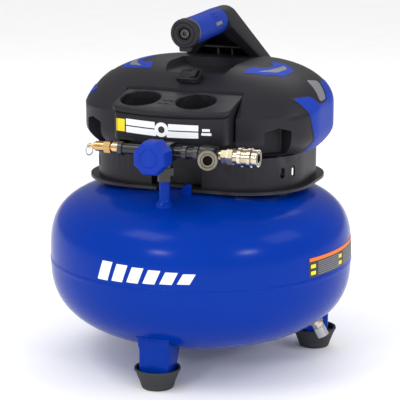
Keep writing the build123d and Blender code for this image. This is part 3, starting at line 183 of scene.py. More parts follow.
@dataclass(frozen=True)
class Finish:
    """A solid finish: a colour that varies a little, a grain, lighter edges (wear, and on the shroud a painted
    highlight) and a trace of dust.
    """

    name: str
    colour: Colour
    roughness: float
    metallic: float = 0.0
    spread: float = 0.08
    grain_scale: float = 900.0
    grain_depth: float = 0.02
    tone_scale: float = 9.0
    edge_wear_and_highlight_colour: Colour = (0.5, 0.5, 0.5)
    edge_wear_and_highlight: float = 0.15
    dust: float = 0.06
    dust_colour: Colour = (0.35, 0.33, 0.30)
    coat: float = 0.0
    coat_roughness: float = 0.03
    specular: float = 0.5
    opacity: float = 1.0

    def build(self) -> bpy.types.Material:
        """Makes the material, once, and returns it."""
        if self.name in bpy.data.materials:
            return bpy.data.materials[self.name]
        material = bpy.data.materials.new(self.name)
        material.use_nodes = True
        graph = Graph(material.node_tree)
        shader = material.node_tree.nodes["Principled BSDF"]
        place = graph.add("ShaderNodeTexCoord").outputs["Object"]
        grain = graph.group(
            "surface_grain", **{"Place": place, "Grain Scale": self.grain_scale, "Tone Scale": self.tone_scale}
        )
        wear_and_highlight = graph.group("edge_wear_and_highlight", Place=place, Amount=self.edge_wear_and_highlight)
        dust = graph.group("settled_dust", Place=place, Amount=self.dust)
        dark = tuple(c * (1 - self.spread) for c in self.colour)
        pale = tuple(min(1.0, c * (1 + self.spread)) for c in self.colour)
        toned = graph.blend(grain.outputs["Tone"], dark, pale)
        # The edge colour goes on sharp edges: wear, and on the shroud a painted highlight.
        worn_and_highlighted = graph.blend(wear_and_highlight.outputs["Mask"], toned, self.edge_wear_and_highlight_colour)
        dusty = graph.blend(dust.outputs["Mask"], worn_and_highlighted, self.dust_colour)
        rough = graph.remap(
            grain.outputs["Tone"], (0, 1), (self.roughness * (1 - self.spread), self.roughness * (1 + self.spread))
        )
        bump = graph.add(
            "ShaderNodeBump", {"Height": grain.outputs["Height"], "Distance": self.grain_depth * MM, "Strength": 1.0}
        )
        links = material.node_tree.links
        links.new(dusty, shader.inputs["Base Color"])
        links.new(graph.maths("ADD", rough, graph.maths("MULTIPLY", dust.outputs["Mask"], 0.3)), shader.inputs["Roughness"])
        links.new(bump.outputs["Normal"], shader.inputs["Normal"])
        shader.inputs["Metallic"].default_value = self.metallic
        shader.inputs["Specular IOR Level"].default_value = self.specular
        shader.inputs["Coat Weight"].default_value = self.coat
        shader.inputs["Coat Roughness"].default_value = self.coat_roughness
        return material


@dataclass(frozen=True)
class ClearGlass:
    """A clear lens, with faint smears that change its roughness."""

    name: str = "clear_lens"
    roughness: float = 0.03

    def build(self) -> bpy.types.Material:
        """Makes the material, once, and returns it."""
        if self.name in bpy.data.materials:
            return bpy.data.materials[self.name]
        material = bpy.data.materials.new(self.name)
        material.use_nodes = True
        graph = Graph(material.node_tree)
        shader = material.node_tree.nodes["Principled BSDF"]
        place = graph.add("ShaderNodeTexCoord").outputs["Object"]
        smears = graph.add("ShaderNodeTexNoise", {"Vector": place, "Scale": 120.0, "Detail": 4.0})
        rough = graph.remap(smears.outputs[0], (0.4, 0.7), (self.roughness, self.roughness * 3))
        material.node_tree.links.new(rough, shader.inputs["Roughness"])
        shader.inputs["Transmission Weight"].default_value = 1.0
        shader.inputs["IOR"].default_value = 1.2
        return material


COBALT = srgb(0, 47, 148)
TANK_PAINT = Finish(
    "gloss_powder_coat", COBALT, 0.2, spread=0.03, grain_scale=260.0, grain_depth=0.006, edge_wear_and_highlight=0.0,
    dust=0.0, specular=0.1,
)
BLUE_PLASTIC = Finish(
    "blue_moulding", srgb(0, 48, 158), 0.5, grain_scale=1400.0, grain_depth=0.02, edge_wear_and_highlight=0.05, dust=0.01,
    specular=0.2,
)
BLUE_RUBBER = Finish(
    "blue_soft_grip", srgb(0, 46, 150), 0.6, grain_scale=1100.0, grain_depth=0.03, edge_wear_and_highlight=0.05, dust=0.01,
    specular=0.2,
)
# The shroud's edge colour is much lighter than its body: scuffed wear plus a painted highlight along its edges,
# standing in for bevels.
SHROUD = Finish(
    "charcoal_moulding", srgb(28, 27, 34), 0.44, spread=0.06, grain_scale=1300.0, grain_depth=0.035, specular=0.3,
    edge_wear_and_highlight_colour=(0.08, 0.08, 0.09), edge_wear_and_highlight=0.3, dust=0.02,
)
WELL_GLOSS = Finish("smoked_gloss", srgb(24, 25, 28), 0.22, grain_depth=0.004, edge_wear_and_highlight_colour=(0.2, 0.2, 0.2), dust=0.02)
SWITCH = Finish("switch_moulding", srgb(14, 14, 17), 0.36, specular=0.3, grain_scale=1600.0, edge_wear_and_highlight_colour=(0.15, 0.15, 0.16))
# Black trim: the panel borders, dial ticks and pips are black, and the console groove and hood shelf use it as painted
# shade.
BLACK_TRIM_AND_SHADE = Finish("black_trim", srgb(14, 14, 16), 0.5, edge_wear_and_highlight=0.05)
GREY_TRIM = Finish("grey_trim", srgb(112, 114, 120), 0.5, grain_scale=1500.0)
RUBBER = Finish(
    "foot_rubber", srgb(8, 9, 12), 0.78, grain_scale=700.0, grain_depth=0.06, edge_wear_and_highlight_colour=(0.03, 0.03, 0.03),
    edge_wear_and_highlight=0.2, dust=0.03, specular=0.15,
)
BLACK_STEEL = Finish("satin_black_steel", srgb(24, 24, 26), 0.34, coat=0.3, edge_wear_and_highlight_colour=(0.35, 0.33, 0.3))
ZINC = Finish("zinc_steel", srgb(176, 178, 184), 0.34, metallic=1.0, grain_depth=0.015, edge_wear_and_highlight_colour=(0.9, 0.9, 0.9))
BRASS = Finish(
    "machined_brass", srgb(214, 176, 118), 0.26, metallic=1.0, grain_depth=0.01, edge_wear_and_highlight_colour=(1.0, 0.9, 0.7),
    edge_wear_and_highlight=0.5, dust=0.03,
)
COUPLER = Finish(
    "plated_steel", srgb(196, 184, 156), 0.24, metallic=1.0, grain_depth=0.01, edge_wear_and_highlight_colour=(1.0, 0.97, 0.9),
    edge_wear_and_highlight=0.5, dust=0.03,
)
ALUMINIUM = Finish("cast_aluminium", srgb(150, 152, 156), 0.5, metallic=1.0, grain_scale=500.0, grain_depth=0.08)
ROTOR_STEEL = Finish("laminated_steel", srgb(130, 130, 134), 0.42, metallic=1.0, grain_scale=1500.0)
WHITE_PRINT = Finish("white_print", srgb(236, 238, 242), 0.45, spread=0.02, grain_depth=0.004, edge_wear_and_highlight=0.0, dust=0.02)
YELLOW_PRINT = Finish("yellow_print", srgb(240, 214, 10), 0.45, spread=0.02, grain_depth=0.004, edge_wear_and_highlight=0.0)
ORANGE_PRINT = Finish("orange_print", srgb(232, 112, 30), 0.5, spread=0.02, grain_depth=0.004, edge_wear_and_highlight=0.0)
GREY_PRINT = Finish("grey_print", srgb(120, 122, 128), 0.5, spread=0.02, grain_depth=0.004, edge_wear_and_highlight=0.0)
DARK_PRINT = Finish("dark_label", srgb(40, 42, 46), 0.5, spread=0.03, grain_depth=0.004, edge_wear_and_highlight=0.0)
DIAL_WHITE = Finish("dial_face", srgb(228, 228, 224), 0.5, spread=0.02, grain_depth=0.004, edge_wear_and_highlight=0.0)
NEEDLE_RED = Finish("needle_paint", srgb(200, 38, 24), 0.4, spread=0.03, grain_depth=0.004, edge_wear_and_highlight=0.0)
GLASS = ClearGlass()

CAD_FINISHES: dict[Finish | ClearGlass, tuple[str, ...]] = {
    TANK_PAINT: ("leg_bracket_1", "leg_bracket_2", "leg_bracket_3", "riser_pipe", "mount_pads"),
    SHROUD: ("shroud_skirt", "handle_frame", "grip_end_cap", "console"),
    BLUE_PLASTIC: ("end_panel_left", "end_panel_right", "top_inlay_left", "top_inlay_right", "regulator_knob"),
    BLUE_RUBBER: ("grip_sleeve",),
    SWITCH: ("switch_bezel", "rocker_switch", "cord_gland", "cooling_fan", "pressure_switch"),
    RUBBER: ("rubber_foot_1", "rubber_foot_2", "rubber_foot_3", "rubber_mounts"),
    BLACK_STEEL: ("manifold", "pump_cradle", "motor_stator", "grip_screw"),
    ZINC: ("foot_screws", "head_bolts", "drain_valve_knob", "safety_pull_ring", "drain_valve_body"),
    BRASS: ("drain_bung", "safety_valve_body", "safety_valve_stem", "check_valve_body", "regulator_bonnet"),
    COUPLER: ("front_coupler_body", "front_coupler_sleeve", "side_coupler_body", "side_coupler_sleeve"),
    ALUMINIUM: ("crankcase", "cylinder_head", "pump_cylinder", "piston_rod", "discharge_tube"),
    ROTOR_STEEL: ("motor_rotor", "crank_shaft", "check_valve_poppet"),
    NEEDLE_RED: ("gauge_left_needle", "gauge_right_needle"),
    GLASS: ("gauge_left_lens", "gauge_right_lens"),
    DIAL_WHITE: ("gauge_left_case", "gauge_right_case"),
}


def dress_cad_nodes() -> None:
    """Gives every CAD node that stays in view its procedural finish."""
    for finish, nodes in CAD_FINISHES.items():
        for node in nodes:
            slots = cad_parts[node].data.materials
            slots.clear()
            slots.append(finish.build())


# ---------------------------------------------------------------- mesh tools


class Carve(Enum):
    """How a tool shape meets the shape it works on."""

    CUT = "DIFFERENCE"
    KEEP = "INTERSECT"
    JOIN = "UNION"


class Side(Enum):
    """The product's left or right, as the sign of X."""

    LEFT = -1
    RIGHT = 1

    @property
    def word(self) -> str:
        """The side's name, for a piece."""
        return self.name.lower()


def axis_frame(origin: Iterable[float], direction: Iterable[float]) -> Matrix:
    """Returns the matrix that stands a z axis at an origin along a direction."""
    turn = Vector(direction).to_track_quat("Z", "Y").to_matrix().to_4x4()
    return Matrix.Translation(Vector(origin)) @ turn


def tidy(bm: bmesh.types.BMesh, merge: float = MERGE) -> bmesh.types.BMesh:
    """Merges doubles, turns the faces outwards and returns the same mesh."""
    bmesh.ops.remove_doubles(bm, verts=bm.verts, dist=merge)
    bmesh.ops.dissolve_degenerate(bm, edges=bm.edges, dist=merge)
    bmesh.ops.recalc_face_normals(bm, faces=bm.faces)
    return bm


def lathe(profile: Sequence[Point2], place: Matrix | None = None, steps: int = 96) -> bmesh.types.BMesh:
    """Spins a closed profile into a solid of revolution.

    Args:
        profile: Points (radius, height), closed from the last to the first.
        place: Where the z axis stands.
        steps: Faces around the axis.

    Returns:
        The new mesh.
    """
    bm = bmesh.new()
    verts = [bm.verts.new((radius, 0, height)) for radius, height in profile]
    edges = [bm.edges.new((verts[i - 1], verts[i])) for i in range(len(verts))]
    edges = [e for e in edges if any(v.co.x > MERGE for v in e.verts)]
    bmesh.ops.spin(
        bm, geom=verts + edges, cent=(0, 0, 0), axis=(0, 0, 1), angle=math.tau, steps=steps, use_merge=True
    )
    bmesh.ops.delete(bm, geom=[e for e in bm.edges if not e.link_faces], context="EDGES")
    tidy(bm)
    bmesh.ops.transform(bm, matrix=place or Matrix(), verts=bm.verts)
    return bm


def prism(outline: Sequence[Point2], low: float, high: float, place: Matrix | None = None) -> bmesh.types.BMesh:
    """Extrudes a closed outline between two heights and returns the mesh."""
    bm = bmesh.new()
    base = bm.faces.new([bm.verts.new((x, y, low)) for x, y in outline])
    made = bmesh.ops.extrude_face_region(bm, geom=[base])["geom"]
    top = [item for item in made if isinstance(item, bmesh.types.BMVert)]
    bmesh.ops.translate(bm, vec=(0, 0, high - low), verts=top)
    tidy(bm)
    bmesh.ops.transform(bm, matrix=place or Matrix(), verts=bm.verts)
    return bm


def block(centre: Point3, size: Point3, turn: Matrix | None = None) -> bmesh.types.BMesh:
    """Makes a block of a size, turned about its centre, and returns the mesh."""
    bm = bmesh.new()
    bmesh.ops.create_cube(bm, size=1.0)
    bmesh.ops.scale(bm, vec=size, verts=bm.verts)
    matrix = Matrix.Translation(centre) @ (turn or Matrix())
    bmesh.ops.transform(bm, matrix=matrix, verts=bm.verts)
    return bm


def sheet(
    around: int, along: int, shape: Callable[[float, float], Point3], steps_merge: float = MERGE
) -> bmesh.types.BMesh:
    """Bends a grid to a shape.

    Args:
        around: Faces in the first direction.
        along: Faces in the second direction.
        shape: Gives the place of each point from its two shares, 0 to 1.
        steps_merge: How near two points are when they merge.

    Returns:
        The new mesh, closed where its edges meet.
    """
    bm = bmesh.new()
    bmesh.ops.create_grid(bm, x_segments=around, y_segments=along, size=0.5)
    for vert in bm.verts:
        vert.co = Vector(shape(min(1.0, vert.co.x + 0.5), min(1.0, vert.co.y + 0.5)))
    return tidy(bm, steps_merge)


def soften(bm: bmesh.types.BMesh, width: float, segments: int = 3, angle: float = 30.0) -> bmesh.types.BMesh:
    """Rounds every edge sharper than an angle and returns the same mesh."""
    limit = math.radians(angle)
    edges = [e for e in bm.edges if len(e.link_faces) == 2 and e.calc_face_angle() > limit]
    bmesh.ops.bevel(
        bm, geom=edges, offset=width, affect="EDGES", segments=segments, profile=0.5, material=-1,
        clamp_overlap=True,
    )
    return bm


def round_off(points: Sequence[Point2], radius: float, steps: int = 6) -> list[Point2]:
    """Rounds the corners of a closed outline.

    Args:
        points: The outline's corners.
        radius: How far from each corner the curve starts.
        steps: Segments in each curve.

    Returns:
        The outline's new points.
    """
    outline = []
    for index, corner in enumerate(points):
        here = Vector(corner)
        before = Vector(points[index - 1]) - here
        after = Vector(points[(index + 1) % len(points)]) - here
        reach = min(radius, before.length * 0.45, after.length * 0.45)
        start, end = here + before.normalized() * reach, here + after.normalized() * reach
        for step in range(steps + 1):
            t = step / steps
            outline.append(tuple(start * (1 - t) ** 2 + here * 2 * t * (1 - t) + end * t**2))
    return outline


def scratch_object(bm: bmesh.types.BMesh) -> bpy.types.Object:
    """Puts a mesh on an object for a modifier to use, and frees the bmesh."""
    mesh = bpy.data.meshes.new("scratch")
    bm.to_mesh(mesh)
    bm.free()
    holder = bpy.data.objects.new("scratch", mesh)
    bpy.context.scene.collection.objects.link(holder)
    return holder


def carve(base: bmesh.types.BMesh, tool: bmesh.types.BMesh, how: Carve) -> bmesh.types.BMesh:
    """Cuts, keeps or joins one closed mesh with another.

    Args:
        base: The mesh that is worked on; it is freed.
        tool: The mesh that works on it; it is freed.
        how: What the tool does.

    Returns:
        The new mesh.
    """
    base_holder, tool_holder = scratch_object(base), scratch_object(tool)
    modifier = base_holder.modifiers.new("carve", "BOOLEAN")
    modifier.operation = how.value
    modifier.solver = "EXACT"
    modifier.object = tool_holder
    depsgraph = bpy.context.evaluated_depsgraph_get()
    mesh = bpy.data.meshes.new_from_object(base_holder.evaluated_get(depsgraph))
    result = bmesh.new()
    result.from_mesh(mesh)
    for holder in (base_holder, tool_holder):
        old = holder.data
        bpy.data.objects.remove(holder)
        bpy.data.meshes.remove(old)
    bpy.data.meshes.remove(mesh)
    return result


def gather(parts: Iterable[bmesh.types.BMesh]) -> bmesh.types.BMesh:
    """Puts several meshes side by side in one, frees them and returns it."""
    whole = bmesh.new()
    for part in parts:
        mesh = bpy.data.meshes.new("part")
        part.to_mesh(mesh)
        part.free()
        whole.from_mesh(mesh)
        bpy.data.meshes.remove(mesh)
    return whole


@dataclass(frozen=True)
class Ride:
    """The CAD body that a piece moves with and the name of a record slot."""

    body: str
    slot: str


def add_piece(
    bm: bmesh.types.BMesh, name: str, ride: Ride, finish: Finish | ClearGlass, *nodes: str, smooth: float = 35.0
) -> bpy.types.Object:
    """Turns a mesh in millimetres into a finished piece in the frame.

    Args:
        bm: The mesh; it is freed.
        name: The piece's name.
        ride: The body and slot.
        finish: What it is made of.
        nodes: The CAD nodes it stands for.
        smooth: Edges flatter than this angle are shaded smooth.

    Returns:
        The new object.
    """
    bmesh.ops.scale(bm, vec=(MM, MM, MM), verts=bm.verts)
    mesh = bpy.data.meshes.new(name)
    bm.to_mesh(mesh)
    bm.free()
    mesh.polygons.foreach_set("use_smooth", [True] * len(mesh.polygons))
    mesh.set_sharp_from_angle(angle=math.radians(smooth))
    mesh.materials.append(finish.build())
    piece = bpy.data.objects.new(name, mesh)
    bpy.context.scene.collection.objects.link(piece)
    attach(piece, ride.body)
    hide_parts(*nodes)
    LOG.info("%s: %d faces", name, len(mesh.polygons))
    return piece


# ---------------------------------------------------------------- tank and stand


@dataclass
class Tank:
    """The pressure vessel: two dished heads, a rippled girth weld and its printed marks."""

    radius: float = 208.5
    seam_z: float = 143.0
    top_z: float = 248.7
    bottom_z: float = 31.3
    upper_power: float = 3.48
    lower_power: float = 2.68
    wall: float = 2.5
    steps: int = 40
    bead_width: float = 8.0
    bead_height: float = 1.0
    ripples: int = 210
    ride: Ride = Ride("frame", "tank_paint")

    def head(self, up: int, inset: float) -> list[Point2]:
        """Returns a head's profile from its rim to its pole, inset from the outer surface."""
        power = self.upper_power if up > 0 else self.lower_power
        height = (self.top_z - self.seam_z if up > 0 else self.seam_z - self.bottom_z) - inset
        points = []
        for step in range(self.steps + 1):
            turn = math.pi / 2 * step / self.steps
            across = max(0.0, math.cos(turn)) ** (2 / power) if step < self.steps else 0.0
            points.append(((self.radius - inset) * across, self.seam_z + up * height * math.sin(turn) ** (2 / power)))
        return points

    def radius_at(self, z: float) -> float:
        """Returns the tank's outer radius at a height."""
        up = z >= self.seam_z
        power = self.upper_power if up else self.lower_power
        height = self.top_z - self.seam_z if up else self.seam_z - self.bottom_z
        return self.radius * (1 - abs((z - self.seam_z) / height) ** power) ** (1 / power)

    def height_at(self, radius: float, up: int = 1) -> float:
        """Returns the height of the tank's outer surface at a radius."""
        power = self.upper_power if up > 0 else self.lower_power
        height = self.top_z - self.seam_z if up > 0 else self.seam_z - self.bottom_z
        return self.seam_z + up * height * (1 - (radius / self.radius) ** power) ** (1 / power)

    def girth_bead(self) -> bmesh.types.BMesh:
        """Returns the girth weld, with the even ripples of a machine weld."""
        def shape(turn: float, across: float) -> Point3:
            """Places one point of the bead."""
            angle = math.tau * turn
            lean = math.tau * across
            ripple = 1 + 0.22 * math.sin(self.ripples * angle + 2 * math.cos(lean))
            swell = self.bead_height * math.cos(lean) * (ripple if math.cos(lean) > 0 else 1)
            radius = self.radius - 0.4 + swell
            height = self.seam_z + self.bead_width / 2 * math.sin(lean)
            return (radius * math.cos(angle), radius * math.sin(angle), height)
        return sheet(1260, 10, shape)

    def printed(self, turn_span: Point2, z_span: Point2, slant: float, proud: float) -> bmesh.types.BMesh:
        """Returns a thin print that follows the tank.

        Args:
            turn_span: The angles it starts and ends at, in degrees.
            z_span: The heights of its lower and upper edges.
            slant: How far its upper edge is moved round, in degrees.
            proud: How far it stands off the tank.

        Returns:
            The closed mesh.
        """
        def shape(across: float, up: float) -> Point3:
            """Places one point of the print's outer face."""
            z = z_span[0] + (z_span[1] - z_span[0]) * up
            angle = math.radians(turn_span[0] + (turn_span[1] - turn_span[0]) * across + slant * up)
            radius = self.radius_at(z) + proud
            return (radius * math.cos(angle), radius * math.sin(angle), z)
        bm = sheet(12, 6, shape)
        bmesh.ops.solidify(bm, geom=bm.faces, thickness=proud * 0.9)
        bmesh.ops.recalc_face_normals(bm, faces=bm.faces)
        return bm

    def build(self) -> None:
        """Builds the heads, the weld and the marks."""
        for word, up in (("upper", 1), ("lower", -1)):
            profile = self.head(up, 0) + self.head(up, self.wall)[::-1]
            add_piece(lathe(profile, steps=192), f"tank_{word}_shell", self.ride, TANK_PAINT, f"tank_{word}_head")
        add_piece(self.girth_bead(), "girth_bead", self.ride, TANK_PAINT, "tank_girth_weld")
        bars = []
        for index in range(6):
            start = -109.5 + index * 6.3
            bars.append(self.printed((start, start + 4.5), (150.5 + index * 1.0, 176.0 - index * 1.4), 2.2, 0.25))
        add_piece(gather(bars), "speed_bars", self.ride, WHITE_PRINT)
        self.warning_plate()

    def warning_plate(self) -> None:
        """Builds a blank safety plate at the right: a dark field, a coloured heading and grey rules."""
        add_piece(self.printed((-27.0, 14.0), (149.0, 175.0), 0, 0.25), "safety_plate", self.ride, DARK_PRINT)
        heading = [self.printed((-26.6, 13.6), (170.0, 174.6), 0, 0.45)]
        add_piece(gather(heading), "safety_plate_heading", self.ride, ORANGE_PRINT)
        rules = []
        for column in range(2):
            for row in range(7):
                start = -22.0 + column * 18.5
                low = 150.5 + row * 2.7
                rules.append(self.printed((start, start + 14.5), (low, low + 1.3), 0, 0.45))
        add_piece(gather(rules), "safety_plate_rules", self.ride, GREY_PRINT)
        tabs = [self.printed((-26.0 + c * 18.5, -23.4 + c * 18.5), (152 + r * 9, 157 + r * 9), 0, 0.45)
                for c in range(2) for r in range(2)]
        add_piece(gather(tabs), "safety_plate_tabs", self.ride, YELLOW_PRINT)


@dataclass
class Stand:
    """Three folded legs, welded under the tank, and their rubber feet."""

    tank: Tank
    angles: tuple[float, float, float] = (-90.0, 30.0, 150.0)
    pitch: float = 164.0
    outer: float = 16.0
    half_width: float = 21.0
    sheet_metal: float = 3.0
    low_depth: float = 32.0
    high_depth: float = 47.0
    low_z: float = 20.0
    bend_z: float = 28.0
    high_z: float = 58.0
    top_z: float = 78.0

    def leg(self) -> bmesh.types.BMesh:
        """Returns one folded channel, its open side towards the tank's axis."""
        bm = bmesh.new()
        inner = self.outer - self.low_depth
        corners = [(inner, -self.half_width), (self.outer, -self.half_width),
                   (self.outer, self.half_width), (inner, self.half_width)]
        verts = [bm.verts.new((x, y, self.low_z)) for x, y in corners]
        edges = [bm.edges.new(pair) for pair in zip(verts, verts[1:])]
        for level in (self.bend_z, self.high_z, self.top_z):
            made = bmesh.ops.extrude_edge_only(bm, edges=edges)["geom"]
            edges = [item for item in made if isinstance(item, bmesh.types.BMEdge)]
            for vert in {v for e in edges for v in e.verts}:
                vert.co.z = level
                if vert.co.x < 0 and level >= self.high_z:
                    vert.co.x = self.outer - self.high_depth
        folds = [e for e in bm.edges if len(e.link_faces) == 2 and abs(e.calc_face_angle()) > 0.7]
        bmesh.ops.bevel(bm, geom=folds, offset=5.0, affect="EDGES", segments=5, profile=0.5, material=-1)
        bmesh.ops.recalc_face_normals(bm, faces=bm.faces)
        bmesh.ops.solidify(bm, geom=bm.faces, thickness=self.sheet_metal)
        bmesh.ops.recalc_face_normals(bm, faces=bm.faces)
        return soften(bm, 0.5, 2, 60)

    def foot(self) -> bmesh.types.BMesh:
        """Returns one foot: a flared cup with a rounded rim and two shallow grooves."""
        profile = [(0, 0), (18.6, 0), (20.6, 0.6), (21.5, 2.4), (23.1, 7.2), (22.9, 8.0), (23.6, 8.8), (29.6, 24.0),
                   (30.7, 25.0), (31.0, 26.4), (30.6, 27.6), (29.6, 28.0), (28.2, 27.6), (27.4, 26.6), (27.2, 20.5),
                   (0, 20.5)]
        return lathe(profile, steps=72)

    def weld_line(self) -> bmesh.types.BMesh:
        """Returns the row of weld beads where a leg's face meets the tank."""
        beads = []
        for index in range(13):
            across = -self.half_width + 2 * self.half_width * index / 12
            radius = math.hypot(self.pitch + self.outer, across)
            spot = (self.outer + 0.6, across, self.tank.height_at(radius, -1) + 0.4)
            bm = bmesh.new()
            bmesh.ops.create_icosphere(bm, subdivisions=3, radius=2.6)
            bmesh.ops.scale(bm, vec=(0.8, 1.0, 0.9), verts=bm.verts)
            bmesh.ops.translate(bm, vec=spot, verts=bm.verts)
            beads.append(bm)
        return gather(beads)

    def build(self) -> None:
        """Builds the legs, welds and feet at their three angles."""
        for number, angle in enumerate(self.angles, 1):
            place = Matrix.Rotation(math.radians(angle), 4, "Z") @ Matrix.Translation((self.pitch, 0, 0))
            for shape, name, slot, finish, nodes in (
                (self.leg(), f"folded_leg_{number}", "tank_paint", TANK_PAINT, (f"leg_bracket_{number}",)),
                (self.weld_line(), f"leg_weld_{number}", "tank_paint", TANK_PAINT, ()),
                (self.foot(), f"moulded_foot_{number}", "foot_rubber", RUBBER, (f"rubber_foot_{number}",)),
            ):
                bmesh.ops.transform(shape, matrix=place, verts=shape.verts)
                add_piece(shape, name, Ride("frame", slot), finish, *nodes)


# ---------------------------------------------------------------- air line


@dataclass
class AirLine:
    """The welded riser and the regulator's knob."""

    tank: Tank
    riser_y: float = -135.0
    riser_radius: float = 7.25
    riser_top: float = 273.0
    knob_back: float = -157.0
    knob_front: float = -192.0
    knob_radius: float = 23.2
    manifold_z: float = 312.0
    front_port: Point3 = (62.0, -141.0, 307.0)
    port_turn: float = 20.0
    port_rise: float = 10.0
    stub_length: float = 8.0
    side_port: Point3 = (77.0, -135.0, 312.0)
    coupler_length: float = 52.0
    socket_length: float = 20.0

    def riser(self) -> bmesh.types.BMesh:
        """Returns the riser pipe with the weld fillet at its foot."""
        foot = self.tank.height_at(-self.riser_y)
        profile = [(0, foot - 3), (12.6, foot - 3), (12.3, foot + 0.6), (10.6, foot + 2.2), (9.4, foot + 4.0)]
        profile += [(8.0, foot + 5.0), (7.5, foot + 6.5), (self.riser_radius, foot + 8.0)]
        profile += [(self.riser_radius, self.riser_top - 0.8), (self.riser_radius - 0.8, self.riser_top)]
        profile += [(0, self.riser_top)]
        return lathe(profile, Matrix.Translation((0, self.riser_y, 0)), 64)

    def knob(self) -> bmesh.types.BMesh:
        """Returns the eight-lobed knob with a dished, stepped face."""
        levels = [(0.0, 0.0), (0.84, 0.0), (0.9, 0.02), (0.97, 0.1), (1.0, 0.3), (1.0, 0.72), (0.985, 0.86), (0.94, 0.94),
                  (0.87, 0.975), (0.62, 0.985), (0.57, 0.965), (0.5, 0.96), (0.44, 0.995), (0.4, 1.0), (0.0, 1.0)]
        count = len(levels) - 1

        def shape(turn: float, along: float) -> Point3:
            """Places one point of the knob."""
            place = along * count
            index = min(int(place), count - 1)
            share = place - index
            scale = levels[index][0] * (1 - share) + levels[index + 1][0] * share
            depth = levels[index][1] * (1 - share) + levels[index + 1][1] * share
            angle = math.tau * turn
            lobe = abs(math.cos(4 * angle)) ** 0.8
            grip = min(1.0, scale * 1.6) if scale > 0.6 else 0.35
            radius = self.knob_radius * scale * (1 - 0.085 * lobe * grip)
            y = self.knob_back + (self.knob_front - self.knob_back) * depth
            return (radius * math.cos(angle), y, self.manifold_z + radius * math.sin(angle))
        return sheet(160, count * 3, shape)

    def build(self) -> None:
        """Builds the riser and the knob."""
        add_piece(self.riser(), "riser_tube", Ride("frame", "tank_paint"), TANK_PAINT, "riser_pipe")
        knob = Ride("regulator_knob", "blue_plastic")
        add_piece(self.knob(), "regulator_handwheel", knob, BLUE_PLASTIC, "regulator_knob")
        turn, rise = math.radians(self.port_turn), math.radians(self.port_rise)
        out = Vector((math.sin(turn) * math.cos(rise), -math.cos(turn) * math.cos(rise), math.sin(rise)))
        front = Vector(self.front_port) + out * self.stub_length
        self.coupler_mouth("front", axis_frame(front, out))
        self.coupler_mouth("side", axis_frame(self.side_port, (1, 0, 0)))

    def coupler_mouth(self, name: str, place: Matrix) -> None:
        """Builds a coupler's rubber seal, deep in its socket, and the spring ring on its face.

        Args:
            name: which coupler it is.
            place: the frame at the coupler's root, its z axis along the coupler.
        """
        face = self.coupler_length
        deep = face - self.socket_length
        ride = Ride("frame", "coupler_steel")
        seal = lathe([(0, deep), (6.1, deep), (6.1, deep + 1.4), (3.4, deep + 1.8), (2.6, deep + 0.6), (0, deep + 0.6)], place, 48)
        add_piece(seal, f"{name}_coupler_seal", ride, RUBBER)
        ring = lathe([(8.3, face - 0.2), (9.5, face - 0.2), (9.4, face + 0.35), (8.4, face + 0.35)], place, 64)
        add_piece(ring, f"{name}_coupler_spring_ring", ride, BLACK_STEEL)


# ---------------------------------------------------------------- shroud


